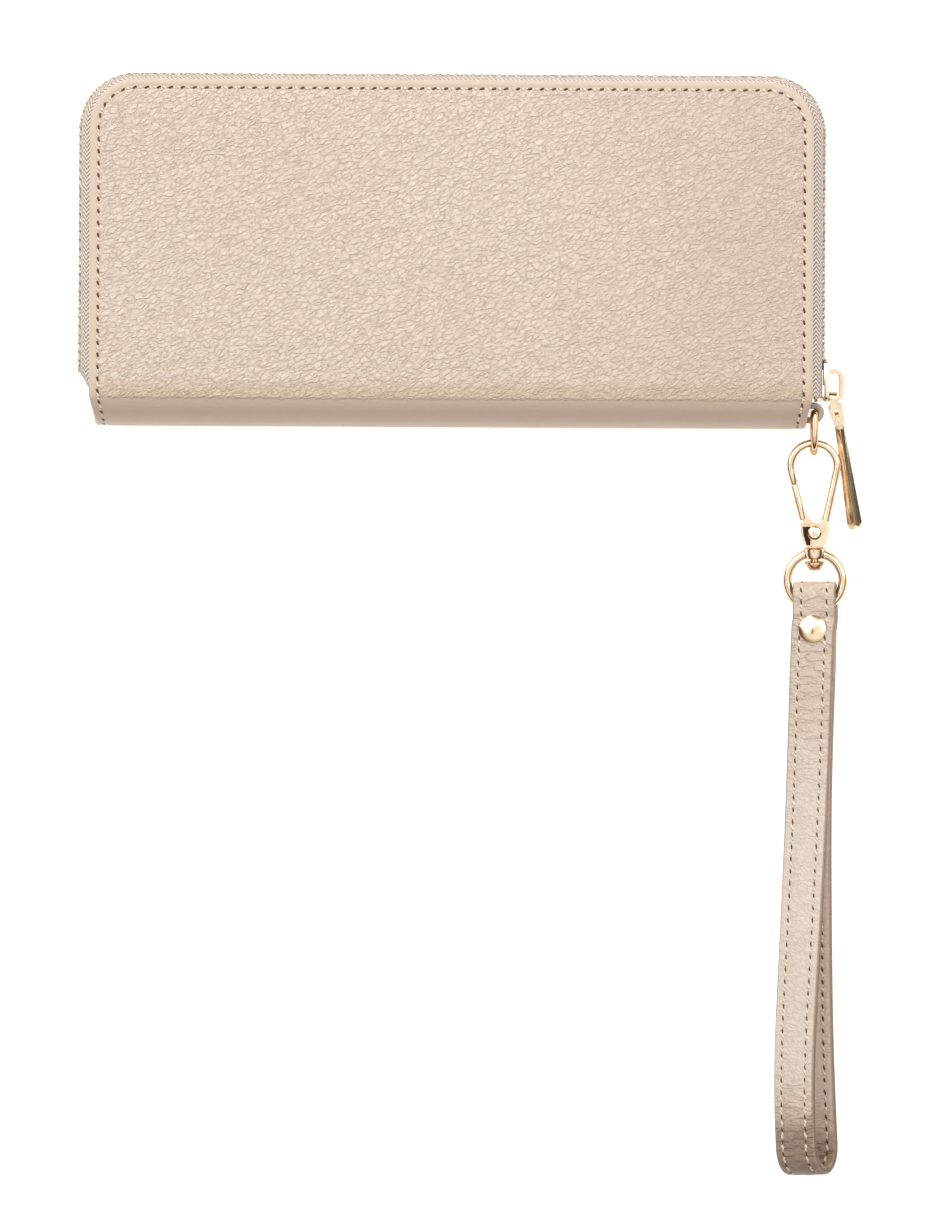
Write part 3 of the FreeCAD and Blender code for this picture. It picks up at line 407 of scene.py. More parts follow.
def grain(tree, place, pebble):
    """Height of a pebbled grain: cells with creases between them, long wrinkles and fine pores."""
    warp = add(
        tree, "ShaderNodeTexNoise", None,
        {"Vector": place, "Scale": 0.33, "Detail": 3.0, "Roughness": 0.6},
    )
    bent = add(
        tree, "ShaderNodeVectorMath", {"operation": "MULTIPLY_ADD"},
        {0: warp.outputs["Color"], 1: (1.7, 1.7, 0.0), 2: place},
    ).outputs[0]
    lean = (0, 0, math.radians(-GRAIN_LEAN))
    turned_to = add(tree, "ShaderNodeMapping", None, {"Vector": bent, "Rotation": lean}).outputs[0]
    leaning = add(tree, "ShaderNodeMapping", None, {"Vector": turned_to, "Scale": (0.5, 1, 1)}).outputs[0]
    cell, small = (
        add(
            tree, "ShaderNodeTexVoronoi", {"feature": "DISTANCE_TO_EDGE"},
            {"Vector": leaning, "Scale": cells / pebble},
        ).outputs["Distance"]
        for cells in (1, 2.1)
    )
    wrinkle = add(
        tree, "ShaderNodeTexNoise", {"noise_type": "RIDGED_MULTIFRACTAL", "normalize": True},
        {"Vector": leaning, "Scale": 0.16, "Detail": 4.0, "Roughness": 0.55, "Lacunarity": 2.1},
    ).outputs[0]
    soft = add(
        tree, "ShaderNodeTexNoise", None, {"Vector": leaning, "Scale": 0.75, "Detail": 5.0, "Roughness": 0.62}
    ).outputs[0]
    height = calc(tree, "MULTIPLY", ramped(tree, cell, 0.0, 0.2), 0.34)
    height = calc(tree, "MULTIPLY_ADD", ramped(tree, small, 0.0, 0.26), 0.2, height)
    height = calc(tree, "MULTIPLY_ADD", ramped(tree, wrinkle, 0.85, 0.35), 0.2, height)
    return calc(tree, "MULTIPLY_ADD", ramped(tree, soft, 0.2, 0.8), 0.4, height)


def grained_cowhide(name, settings):
    """Full-grain cowhide, pebbled and wax finished: a soft broken sheen on the pebbles, from lower
    roughness and a painted highlight on their tops; tan creases darkened with painted shade; a smooth
    turned edge with a painted highlight on its outer round; and smooth stretched leather round the
    spine, darkened with painted shade where it curves away and lightened lower down with painted light."""
    made, tree, shader = new_material(
        name,
        {"Roughness": 0.5, "IOR": 1.48, "Specular IOR Level": 0.42, "Coat Weight": 0.12,
         "Coat Roughness": 0.42},
    )
    if tree is None:
        return made
    place = surface_mm(tree)
    height = grain(tree, place, settings.pebble)
    edge = add(tree, "ShaderNodeAttribute", {"attribute_name": "edge"}).outputs["Fac"]
    cloud = add(tree, "ShaderNodeTexNoise", None, {"Vector": place, "Scale": 0.02, "Detail": 2.0}).outputs[0]
    split = add(tree, "ShaderNodeSeparateXYZ", None, {"Vector": place})
    # Creases darker than the pebbles: painted shade in the hollows of the grain.
    tint = mixed(tree, ramped(tree, height, 0.25, 0.75), settings.crease, settings.hide)
    # Pebble tops lightened: a painted highlight.
    tint = mixed(tree, ramped(tree, height, 0.75, 1.15, 0.0, 0.6), tint, linear("#FDF4E9"))
    tint = mixed(tree, ramped(tree, split.outputs["X"], 10, 95, 0.0, 0.5), tint, linear("#E3CBBB"))
    tint = mixed(tree, ramped(tree, cloud, 0.35, 0.7, 0.0, 0.1), tint, linear("#D8BFA6"))
    # The turned edge: lighter on its outer round than at the stitch groove, a painted highlight along the rounded
    # edge.
    rim = mixed(tree, ramped(tree, edge, 0.75, 1.0), linear("#DAC5B0"), linear("#E3D1BE"))
    tint = mixed(tree, ramped(tree, edge, 0.1, 0.8), tint, rim)
    smooth = calc(tree, "MULTIPLY", height, ramped(tree, edge, 0.9, 0.2, 0.12, 1.0))
    # The band round the spine: its colour is partly the smooth stretched leather's tone and partly painted shade where
    # the spine curves away.
    band = ramped(tree, split.outputs["Y"], -38.4, -39.5)
    # Darker tan towards the bend: painted shade where the cover begins to curve into the spine.
    tint = mixed(tree, ramped(tree, split.outputs["Y"], -33.0, -37.0, 0.0, 0.55), tint, linear("#D9BFA2"))
    # Lighter and pinker towards the bottom of the spine: painted light that offsets the shade of the curve.
    low = mixed(tree, ramped(tree, split.outputs["Y"], -42.0, -49.5), settings.band, linear("#F6DDCA"))
    tint = mixed(tree, band, tint, low)
    smooth = calc(tree, "MULTIPLY", smooth, calc(tree, "MULTIPLY_ADD", band, -0.85, 1.0))
    painted(tree, shader, tint)
    rough = ramped(tree, height, 0.2, 1.0, 0.62, 0.44)
    tree.links.new(rough, shader.inputs["Roughness"])
    pores = add(tree, "ShaderNodeTexNoise", None, {"Vector": place, "Scale": 5.0, "Detail": 2.0}).outputs[0]
    bumped(tree, shader, calc(tree, "MULTIPLY_ADD", pores, 0.07, smooth), settings.relief)
    return made


def strap_cowhide(name, settings):
    """Smooth split cowhide with painted edges: a fine pore, faint cross wrinkles and a duller edge;
    painted shade in the creases of the grain, in the hollows of the wrinkles and at the loop's bottom
    bend, and darker near the ring.
    """
    made, tree, shader = new_material(
        name,
        {"Roughness": 0.5, "IOR": 1.48, "Specular IOR Level": 0.4, "Coat Weight": 0.1,
         "Coat Roughness": 0.4},
    )
    if tree is None:
        return made
    place = surface_mm(tree)
    edge = add(tree, "ShaderNodeAttribute", {"attribute_name": "edge"}).outputs["Fac"]
    crease = add(tree, "ShaderNodeAttribute", {"attribute_name": "crease"}).outputs["Fac"]
    pebbles = grain(tree, place, 1.1)
    across = add(
        tree, "ShaderNodeMapping", None,
        {"Vector": place, "Rotation": (0, 0, math.radians(12)), "Scale": (0.2, 0.6, 1)},
    ).outputs[0]
    folds = add(
        tree, "ShaderNodeTexNoise", None, {"Vector": across, "Scale": 1.0, "Detail": 3.0, "Distortion": 0.8}
    ).outputs[0]
    cloud = add(tree, "ShaderNodeTexNoise", None, {"Vector": place, "Scale": 0.05, "Detail": 3.0}).outputs[0]
    # Creases of the grain darker than the pebbles: painted shade in the hollows.
    tint = mixed(tree, ramped(tree, pebbles, 0.3, 0.85, 0.55, 1.0), linear("#D0BBA8"), settings.hide)
    tint = mixed(tree, ramped(tree, cloud, 0.4, 0.75, 0.0, 0.3), tint, linear("#F1E6DA"))
    # Darker near the ring and at the loop's bottom bend; at the bend this is painted shade where the strap turns away
    # from the light.
    ring_darkening_and_bend_shade = calc(tree, "MINIMUM", calc(tree, "MULTIPLY", crease, 0.5), 0.6)
    tint = mixed(tree, ring_darkening_and_bend_shade, tint, linear("#D9C0AC"))
    # Darker in the hollows of the cross wrinkles: painted shade.
    hollow = calc(tree, "MULTIPLY", ramped(tree, folds, 0.52, 0.38), crease)
    tint = mixed(tree, calc(tree, "MULTIPLY", hollow, 0.3), tint, linear("#B79A83"))
    # Much darker at the bottom bend: painted shade where the strap turns away from the light.
    tint = mixed(tree, ramped(tree, crease, 1.1, 2.0, 0.0, 0.85), tint, linear("#9A8070"))
    tint = mixed(tree, ramped(tree, edge, 0.25, 0.8), tint, settings.edge)
    painted(tree, shader, tint)
    height = calc(tree, "MULTIPLY_ADD", pebbles, 0.7, calc(tree, "MULTIPLY", hollow, -0.7))
    bumped(tree, shader, height, 0.3)
    return made


def lined_leather(name, tone, shadow, pebble):
    """Thin smooth leather of pockets, tab and gussets: a fine even pore and a dry, soft sheen."""
    made, tree, shader = new_material(name, {"Roughness": 0.58, "IOR": 1.46, "Specular IOR Level": 0.35})
    if tree is None:
        return made
    place = object_mm(tree)
    cell = add(
        tree, "ShaderNodeTexVoronoi", {"feature": "DISTANCE_TO_EDGE"}, {"Vector": place, "Scale": 1 / pebble}
    ).outputs["Distance"]
    cloud = add(tree, "ShaderNodeTexNoise", None, {"Vector": place, "Scale": 0.12, "Detail": 4.0}).outputs[0]
    height = ramped(tree, cell, 0.0, 0.25)
    tint = mixed(tree, ramped(tree, calc(tree, "MULTIPLY_ADD", height, 0.5, cloud), 0.35, 1.0), shadow, tone)
    painted(tree, shader, tint)
    bumped(tree, shader, calc(tree, "MULTIPLY_ADD", cloud, 0.6, height), 0.06)
    return made


def woven_tape(name, settings):
    """Polyester zip tape in a herringbone twill: chevron ribs of pale yarn over darker ground, matt."""
    made, tree, shader = new_material(
        name, {"Roughness": 0.78, "Specular IOR Level": 0.2, "Sheen Weight": 0.3, "Sheen Roughness": 0.5}
    )
    if tree is None:
        return made
    place = surface_mm(tree)
    split = add(tree, "ShaderNodeSeparateXYZ", None, {"Vector": place})
    chevron = calc(tree, "PINGPONG", split.outputs["Y"], 1.4)
    phase = calc(tree, "MULTIPLY", calc(tree, "ADD", split.outputs["X"], chevron), 2 * math.pi / YARN_PITCH)
    rib = calc(tree, "MULTIPLY_ADD", calc(tree, "SINE", phase), 0.5, 0.5)
    speck = add(tree, "ShaderNodeTexNoise", None, {"Vector": place, "Scale": 1.7, "Detail": 2.0}).outputs[0]
    height = calc(tree, "MULTIPLY_ADD", speck, 0.5, rib)
    tint = mixed(tree, ramped(tree, height, 0.3, 0.75), linear("#A18A7C"), settings.tape)
    tint = mixed(tree, ramped(tree, height, 0.75, 1.2), tint, settings.fleck)
    painted(tree, shader, tint)
    bumped(tree, shader, height, 0.16)
    return made


def lining_twill(name, tone):
    """Polyester lining in a fine twill: a faint diagonal line and a low sheen."""
    made, tree, shader = new_material(
        name, {"Roughness": 0.62, "Specular IOR Level": 0.25, "Sheen Weight": 0.2, "Sheen Roughness": 0.4}
    )
    if tree is None:
        return made
    place = object_mm(tree)
    split = add(tree, "ShaderNodeSeparateXYZ", None, {"Vector": place})
    run = calc(tree, "ADD", split.outputs["X"], split.outputs["Y"])
    run = calc(tree, "MULTIPLY", run, 2 * math.pi / TWILL_PITCH)
    rib = calc(tree, "MULTIPLY_ADD", calc(tree, "SINE", run), 0.5, 0.5)
    cloud = add(tree, "ShaderNodeTexNoise", None, {"Vector": place, "Scale": 0.3, "Detail": 4.0}).outputs[0]
    shade = calc(tree, "MULTIPLY_ADD", rib, 0.35, calc(tree, "MULTIPLY", cloud, 0.5))
    tint = mixed(tree, ramped(tree, shade, 0.1, 0.65), linear("#A58D76"), tone)
    painted(tree, shader, tint)
    bumped(tree, shader, rib, 0.05)
    return made


def gilt_plating(name, settings, tone=None):
    """Polished zinc alloy with pale gold plating: bright clean reflections, warm brown at grazing
    angles, and faint hairlines from polishing."""
    tone = tone or settings.gilt
    made, tree, shader = new_material(
        name, {"Metallic": 1.0, "Roughness": settings.roughness, "Specular Tint": linear("#B98A5E")}
    )
    if tree is None:
        return made
    place = object_mm(tree)
    cloud = add(tree, "ShaderNodeTexNoise", None, {"Vector": place, "Scale": 0.35, "Detail": 3.0}).outputs[0]
    drawn = add(tree, "ShaderNodeMapping", None, {"Vector": place, "Scale": (4, 0.3, 4)}).outputs[0]
    hair = add(tree, "ShaderNodeTexNoise", None, {"Vector": drawn, "Scale": 2.5}).outputs[0]
    painted(tree, shader, mixed(tree, ramped(tree, cloud, 0.35, 0.75, 0.0, 0.5), tone, linear("#E9BE92")))
    level = settings.roughness
    tree.links.new(ramped(tree, hair, 0.2, 0.8, level * 0.8, level * 1.35), shader.inputs["Roughness"])
    bumped(tree, shader, calc(tree, "MULTIPLY_ADD", cloud, 3.0, hair), 0.006)
    return made


def tooth_plating(name, settings):
    """Cast alloy teeth with a light brass plating showing wear: dull, darker in random patches."""
    made, tree, shader = new_material(name, {"Metallic": 1.0, "Roughness": 0.38})
    if tree is None:
        return made
    cloud = add(
        tree, "ShaderNodeTexNoise", None, {"Vector": object_mm(tree), "Scale": 1.2, "Detail": 3.0}
    ).outputs[0]
    painted(tree, shader, mixed(tree, ramped(tree, cloud, 0.35, 0.7), linear("#94876F"), settings.tooth))
    bumped(tree, shader, cloud, 0.03)
    return made


def dark_steel_and_slot_shade(name):
    """Dark steel of the gate's spring, nearly black with a dull gleam; on a sheet at the floor of the
    snap hook's slot the same colour is painted shade.
    """
    made, tree, shader = new_material(name, {"Metallic": 1.0, "Roughness": 0.45})
    if tree is None:
        return made
    cloud = add(
        tree, "ShaderNodeTexNoise", None, {"Vector": object_mm(tree), "Scale": 2.0, "Detail": 2.0}
    ).outputs[0]
    painted(tree, shader, mixed(tree, cloud, linear("#1E1712"), linear("#4A3A2E")))
    return made


def waxed_thread(name, tone):
    """Waxed polyester thread: two plies twisted together, with a soft gloss."""
    made, tree, shader = new_material(name, {"Roughness": 0.42, "Specular IOR Level": 0.5})
    if tree is None:
        return made
    place = object_mm(tree)
    twist = add(
        tree, "ShaderNodeTexWave", {"bands_direction": "DIAGONAL"},
        {"Vector": place, "Scale": 0.5, "Distortion": 1.0},
    ).outputs["Fac"]
    tint = mixed(tree, ramped(tree, twist, 0.1, 0.5), linear("#C4AD94"), tone)
    painted(tree, shader, tint)
    bumped(tree, shader, twist, 0.06)
    return made


def needle_hole_shade(name):
    """Awl holes in the leather: dark brown marks, painted shade in the holes."""
    made, tree, shader = new_material(name, {"Roughness": 0.8, "Specular IOR Level": 0.1})
    if tree is None:
        return made
    cloud = add(
        tree, "ShaderNodeTexNoise", None, {"Vector": object_mm(tree), "Scale": 1.5, "Detail": 2.0}
    ).outputs[0]
    painted(tree, shader, mixed(tree, cloud, linear("#4C3A2B"), linear("#7B6450")))
    return made


def pasteboard(name):
    """Grey pasteboard between leather and lining: short fibres, quite matt."""
    made, tree, shader = new_material(name, {"Roughness": 0.9, "Specular IOR Level": 0.15})
    if tree is None:
        return made
    fibre = add(
        tree, "ShaderNodeTexNoise", None, {"Vector": object_mm(tree), "Scale": 1.4, "Detail": 5.0}
    ).outputs[0]
    painted(tree, shader, mixed(tree, ramped(tree, fibre, 0.3, 0.7), linear("#8C857B"), linear("#B3ABA0")))
    bumped(tree, shader, fibre, 0.05)
    return made


def placed(name, shape, material):
    """The shape as an object in the scene, all in one material."""
    mesh = bpy.data.meshes.new(name)
    shape.to_mesh(mesh)
    shape.free()
    mesh.materials.clear()
    mesh.materials.append(material)
    made = bpy.data.objects.new(name, mesh)
    bpy.context.scene.collection.objects.link(made)
    return made


def gathered(name, objects, material):
    """Several objects as one, all in one material."""
    shape = bmesh.new()
    for obj in objects:
        mesh = obj.data
        shape.from_mesh(mesh)
        bpy.data.objects.remove(obj)
        bpy.data.meshes.remove(mesh)
    return placed(name, shape, material)


def build(name, points, faces, material, surface=None, marks=None, sharp=38.0, merge=True):
    """A mesh object from points in millimetres, merged, with its faces outwards. surface gives each
    point's place on the flat hide or tape, in mm, and marks are named numbers for each point."""
    shape = bmesh.new()
    flat = shape.verts.layers.float_vector.new("flat")
    layers = {key: shape.verts.layers.float.new(key) for key in (marks or {})}
    for i, p in enumerate(points):
        vert = shape.verts.new(Vector(p) * MM)
        if surface:
            vert[flat] = Vector((surface[i][0] / UV_MM, surface[i][1] / UV_MM, 0))
        for key, layer in layers.items():
            vert[layer] = marks[key][i]
    shape.verts.ensure_lookup_table()
    for face in faces:
        if len(set(face)) > 2:
            shape.faces.new([shape.verts[i] for i in face])
    if merge:
        bmesh.ops.remove_doubles(shape, verts=shape.verts, dist=2e-6)
        bmesh.ops.dissolve_degenerate(shape, edges=shape.edges, dist=1e-6)
    bmesh.ops.recalc_face_normals(shape, faces=shape.faces)
    map_layer = shape.loops.layers.uv.new("Surface")
    for face in shape.faces:
        face.smooth = True
        for loop in face.loops:
            loop[map_layer].uv = loop.vert[flat].xy
    shape.verts.layers.float_vector.remove(shape.verts.layers.float_vector["flat"])
    made = placed(name, shape, material)
    made.data.set_sharp_from_angle(angle=math.radians(sharp))
    return made


def settle(obj):
    """Turns the object's modifiers into plain mesh."""
    graph = bpy.context.evaluated_depsgraph_get()
    mesh = bpy.data.meshes.new_from_object(obj.evaluated_get(graph), depsgraph=graph)
    old = obj.data
    obj.modifiers.clear()
    obj.data = mesh
    mesh.name = obj.name
    bpy.data.meshes.remove(old)
    return obj


def softened(obj, width, segments=3, angle=30.0):
    """Rounds the object's sharp edges, as casting and polishing do."""
    bevel = obj.modifiers.new("Rounding", "BEVEL")
    bevel.width = width * MM
    bevel.segments = segments
    bevel.limit_method = "ANGLE"
    bevel.angle_limit = math.radians(angle)
    bevel.use_clamp_overlap = True
    settle(obj)
    obj.data.shade_smooth()
    obj.data.set_sharp_from_angle(angle=math.radians(50))
    return obj


def copied(node, name, material, width=0.1, angle=30.0):
    """A softened copy of a small solid, its flats merged first."""
    shape = bmesh.new()
    shape.from_mesh(frame["nodes"][node].data)
    bmesh.ops.remove_doubles(shape, verts=shape.verts, dist=2e-6)
    bmesh.ops.dissolve_limit(shape, angle_limit=math.radians(1), verts=shape.verts, edges=shape.edges)
    return softened(placed(name, shape, material), width, 3, angle)


def finish(obj, body, slot, *nodes):
    """The piece moves with its body, takes a slot of the record and stands for its solids."""
    if nodes:
        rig.replaces(obj, *nodes)
    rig.slot(obj, slot)
    if body:
        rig.ride(obj, body)
    return obj


def skinned(sections, closed=False):
    """Points and faces through matching sections, with a cap at each end."""
    count = len(sections[0])
    points = [p for section in sections for p in section]
    faces = []
    last = len(sections) if closed else len(sections) - 1
    for s in range(last):
        t = (s + 1) % len(sections)
        for i in range(count):
            j = (i + 1) % count
            faces.append((s * count + i, s * count + j, t * count + j, t * count + i))
    if not closed:
        faces.append(tuple(range(count))[::-1])
        faces.append(tuple(range((len(sections) - 1) * count, len(sections) * count)))
    return points, faces


def joined(parts):
    """Several lots of points and faces as one."""
    points, faces = [], []
    for more_points, more_faces in parts:
        start = len(points)
        points += list(more_points)
        faces += [tuple(i + start for i in face) for face in more_faces]
    return points, faces


def moved(part, matrix):
    """Points and faces, put in place."""
    return [matrix @ Vector(p) for p in part[0]], part[1]


def circle(centre, side, other, r, count):
    """A ring of points about a centre."""
    turns = [2 * math.pi * k / count for k in range(count)]
    return [centre + side * (r * math.cos(a)) + other * (r * math.sin(a)) for a in turns]


def bent_bar(path, radius, normal, closed=False, sides=20):
    """Round bar along a path. radius is a number or one for each point of the path."""
    path = [Vector(p) for p in path]
    sections = []
    for i, here in enumerate(path):
        before = path[i - 1] if i or closed else here
        after = path[(i + 1) % len(path)] if i + 1 < len(path) or closed else here
        side = normal.cross(after - before).normalized()
        r = radius[i] if isinstance(radius, (list, tuple)) else radius
        sections.append(circle(here, side, normal, r, sides))
    return skinned(sections, closed)


def turned(profile, start, along, sides=32):
    """Round piece about an axis, from (radius, distance) pairs."""
    along = Vector(along).normalized()
    side = along.orthogonal().normalized()
    other = along.cross(side)
    start = Vector(start)
    return skinned([circle(start + along * d, side, other, max(r, 1e-4), sides) for r, d in profile])


def prism(outline, depth):
    """Outline extruded along a vector."""
    front = [Vector(p) for p in outline]
    return skinned([front, [p + Vector(depth) for p in front]])


def smoothstep(low, high, value):
    """0 below low, 1 above high, smooth between."""
    t = min(max((value - low) / (high - low), 0.0), 1.0)
    return t * t * (3 - 2 * t)


def corner_arc(cx, cy, r, start):
    """A quarter circle, clockwise from a start in half turns."""
    turns = [math.pi * (start - 0.5 * k / CORNER_STEPS) for k in range(CORNER_STEPS + 1)]
    return [(cx + r * math.cos(a), cy + r * math.sin(a)) for a in turns]


def rim_path(inset):
    """The cover's open edge at an inset: up the left side, along the top, down the right side."""
    r = max(CORNER_R - inset, 0.0)
    cx, cy = HALF_X - CORNER_R, TOP_Y - CORNER_R
    rows = [BEND_Y + (cy - BEND_Y) * i / SIDE_ROWS for i in range(SIDE_ROWS)]
    columns = [-cx + 2 * cx * i / TOP_COLUMNS for i in range(1, TOP_COLUMNS)]
    path = [(inset - HALF_X, y) for y in rows] + corner_arc(-cx, cy, r, 1)
    path += [(x, TOP_Y - inset) for x in columns] + corner_arc(cx, cy, r, 0.5)
    return path + [(HALF_X - inset, y) for y in rows[::-1]]


def height_of(depth, front):
    """Height of a place at a depth below the outside of its own cover."""
    return THICKNESS - depth if front else depth


def swell(x, y, inset):
    """How far the padded front stands proud of flat, with slow hollows."""
    fade = smoothstep(3.5, 16.0, inset) * smoothstep(0.0, 14.0, y - BEND_Y)
    wave = 0.5 + 0.5 * math.sin(x / 15.0 + 0.8 * math.sin(y / 13.0)) * math.sin(y / 12.0 + x / 37.0)
    return fade * (0.3 + 0.22 * wave)


def inset_of(x, y):
    """Distance from the cover's edge, near enough for a slow swell."""
    return min(HALF_X - abs(x), TOP_Y - y)


def edge_mark(inset, depth):
    """1 on the smooth turned edge, falling to 0 on the grained panel."""
    if depth > 0.5:
        return 1.0
    return 1.0 - smoothstep(1.9, 3.3, inset)


def cover_shell(name, front, material):
    """Leather of one cover: grained panel, stitch groove, turned edge and the wall at the bend."""
    points, faces, flats, marks = [], [], [], []

    def put(x, y, inset, depth, outside):
        lift = swell(x, y, inset) if front and outside else 0.0
        points.append((x, y, height_of(depth, front) + lift))
        flats.append((x, y))
        marks.append(edge_mark(inset, depth))
        return len(points) - 1

    loops = []
    for inset, depth in EDGE_PROFILE:
        path = rim_path(inset)
        loops.append([put(x, y, inset, depth, depth < 0.5) for x, y in path])
    for a, b in zip(loops, loops[1:]):
        for i in range(len(a) - 1):
            faces.append((a[i], a[i + 1], b[i + 1], b[i]))
    cx = HALF_X - CORNER_R
    cy = TOP_Y - CORNER_R
    sheets = []
    for depth in (0.0, LEATHER_T):
        grid = []
        for r in range(SIDE_ROWS + 1):
            y = BEND_Y + (cy - BEND_Y) * r / SIDE_ROWS
            row = []
            for c in range(TOP_COLUMNS + 1):
                x = -cx + 2 * cx * c / TOP_COLUMNS
                near = CORNER_R if c in (0, TOP_COLUMNS) or r == SIDE_ROWS else inset_of(x, y)
                row.append(put(x, y, near, depth, depth == 0.0))
            grid.append(row)
        for r in range(SIDE_ROWS):
            for c in range(TOP_COLUMNS):
                faces.append((grid[r][c], grid[r][c + 1], grid[r + 1][c + 1], grid[r + 1][c]))
        sheets.append(grid)
    wall = [loop[0] for loop in loops] + sheets[1][0][1:-1]
    wall += [loop[-1] for loop in loops[::-1]] + sheets[0][0][1:-1][::-1]
    faces.append(tuple(wall))
    return build(name, points, faces, material, flats, {"edge": marks})


def spine_path(steps=10):
    """The spine's outside from front to back: y, z, lean of its outward normal and distance along."""
    stations = []
    for quarter, centre_z, flat in ((0, THICKNESS - SPINE_R, 0.0), (1, SPINE_R, THICKNESS - 2 * SPINE_R)):
        for k in range(steps + 1):
            a = math.pi / 2 * (quarter + k / steps)
            y, z = BEND_Y - SPINE_R * math.sin(a), centre_z + SPINE_R * math.cos(a)
            stations.append((y, z, a, flat + SPINE_R * a))
    return stations


def spine_half(y):
    """Half length of the spine at a distance back, drawn in at its ends."""
    return HALF_X - SPINE_INSET * smoothstep(0.0, 1.0, (BEND_Y - y) / SPINE_R)


def spine_shell(name, material):
    """Leather round the spine, with the same turned edge at each end."""
    cx = HALF_X - CORNER_R
    columns = [-cx + 2 * cx * i / TOP_COLUMNS for i in range(TOP_COLUMNS + 1)]
    sections, flats, marks = [], [], []
    for y, z, a, along in spine_path():
        half = spine_half(y)
        scale = half / HALF_X
        ring = [(inset - half, depth, inset) for inset, depth in EDGE_PROFILE[::-1]]
        ring += [(x * scale, 0.0, 20.0) for x in columns[1:-1]]
        ring += [(half - inset, depth, inset) for inset, depth in EDGE_PROFILE]
        ring += [(x * scale, LEATHER_T, 20.0) for x in columns[1:-1][::-1]]
        section = []
        for x, depth, inset in ring:
            limit = min(depth, SPINE_R - 0.6)
            section.append((x, y + limit * math.sin(a), z - limit * math.cos(a)))
            flats.append((x, BEND_Y - along))
            marks.append(edge_mark(inset, depth))
        sections.append(section)
    points, faces = skinned(sections)
    made = build(name, points, faces, material, flats, {"edge": marks})
    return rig.blend(made, "back_half", "front_half", start=SPINE_BLEND[0], end=SPINE_BLEND[1])


def capsule(name, length, radius, squash, material):
    """Small rounded unit along x for a run of stitches, a few dozen faces."""
    profile = [(0.0, -0.5), (0.62, -0.44), (1.0, -0.26), (1.0, 0.26), (0.62, 0.44), (0.0, 0.5)]
    sections = []
    for r, d in profile:
        ring = []
        for k in range(8):
            a = 2 * math.pi * k / 8
            size = max(r, 0.02) * radius
            ring.append((d * length, size * math.cos(a), size * squash * math.sin(a)))
        sections.append(ring)
    points, faces = skinned(sections)
    return build(name, points, faces, material)


def tooth_unit(name, material):
    """One zip tooth: a rounded clamp on the tape with its nose, a few dozen faces."""
    b, t, d = 0.75, 0.36, TOOTH_DEPTH
    outline = [
        (-b, 0.15), (-b + 0.15, 0.0), (b - 0.15, 0.0), (b, 0.15), (b, 1.0), (t, 2.5), (-t, 2.5), (-b, 1.0),
    ]
    sections = []
    for y, size in ((-d, 0.8), (-d + 0.2, 1.0), (-0.2, 1.0), (0.0, 0.8)):
        sections.append([(x * size, y, 1.25 + (z - 1.25) * (0.92 if size < 1 else 1.0)) for x, z in outline])
    points, faces = skinned(sections)
    return build(name, points, faces, material, sharp=50)


def run_tree():
    """Node tree that sets a unit at even steps along a path, turned to the path's outward direction."""
    tree = bpy.data.node_groups.get("Run of units")
    if tree:
        return tree
    tree = bpy.data.node_groups.new("Run of units", "GeometryNodeTree")
    for name, kind in (
        ("Path", "NodeSocketGeometry"), ("Count", "NodeSocketInt"), ("Slant", "NodeSocketFloat"),
        ("Scatter", "NodeSocketFloat"), ("Seed", "NodeSocketInt"), ("Unit", "NodeSocketObject"),
        ("Finish", "NodeSocketMaterial"),
    ):
        tree.interface.new_socket(name, in_out="INPUT", socket_type=kind)
    tree.interface.new_socket("Mesh", in_out="OUTPUT", socket_type="NodeSocketGeometry")
    given = add(tree, "NodeGroupInput").outputs
    line = add(tree, "GeometryNodeMeshToCurve", None, {"Mesh": given["Path"]})
    steps = add(
        tree, "GeometryNodeResampleCurve", {"mode": "COUNT"},
        {"Curve": line.outputs[0], "Count": given["Count"]},
    )
    heading = add(tree, "GeometryNodeInputTangent")
    outward = add(tree, "GeometryNodeInputNamedAttribute", {"data_type": "FLOAT_VECTOR"}, {"Name": "outward"})
    along = add(tree, "FunctionNodeAlignRotationToVector", {"axis": "X"}, {"Vector": heading.outputs[0]})
    facing = add(
        tree, "FunctionNodeAlignRotationToVector", {"axis": "Z", "pivot_axis": "X"},
        {"Rotation": along.outputs[0], "Vector": outward.outputs[0]},
    )
    chance = add(
        tree, "FunctionNodeRandomValue", {"data_type": "FLOAT"}, {2: -1.0, 3: 1.0, "Seed": given["Seed"]}
    )
    angle = add(
        tree, "ShaderNodeMath", {"operation": "MULTIPLY_ADD"},
        {0: chance.outputs[1], 1: given["Scatter"], 2: given["Slant"]},
    )
    euler = add(tree, "ShaderNodeCombineXYZ", None, {"Z": angle.outputs[0]})
    spin = add(tree, "FunctionNodeEulerToRotation", None, {0: euler.outputs[0]})
    final = add(
        tree, "FunctionNodeRotateRotation", {"rotation_space": "LOCAL"},
        {"Rotation": facing.outputs[0], "Rotate By": spin.outputs[0]},
    )
    unit = add(tree, "GeometryNodeObjectInfo", None, {"Object": given["Unit"]})
    spread = add(
        tree, "GeometryNodeInstanceOnPoints", None,
        {"Points": steps.outputs[0], "Instance": unit.outputs["Geometry"], "Rotation": final.outputs[0]},
    )
    real = add(tree, "GeometryNodeRealizeInstances", None, {0: spread.outputs[0]})
    dressed = add(
        tree, "GeometryNodeSetMaterial", None, {"Geometry": real.outputs[0], "Material": given["Finish"]}
    )
    add(tree, "NodeGroupOutput", None, {0: dressed.outputs[0]})
    return tree


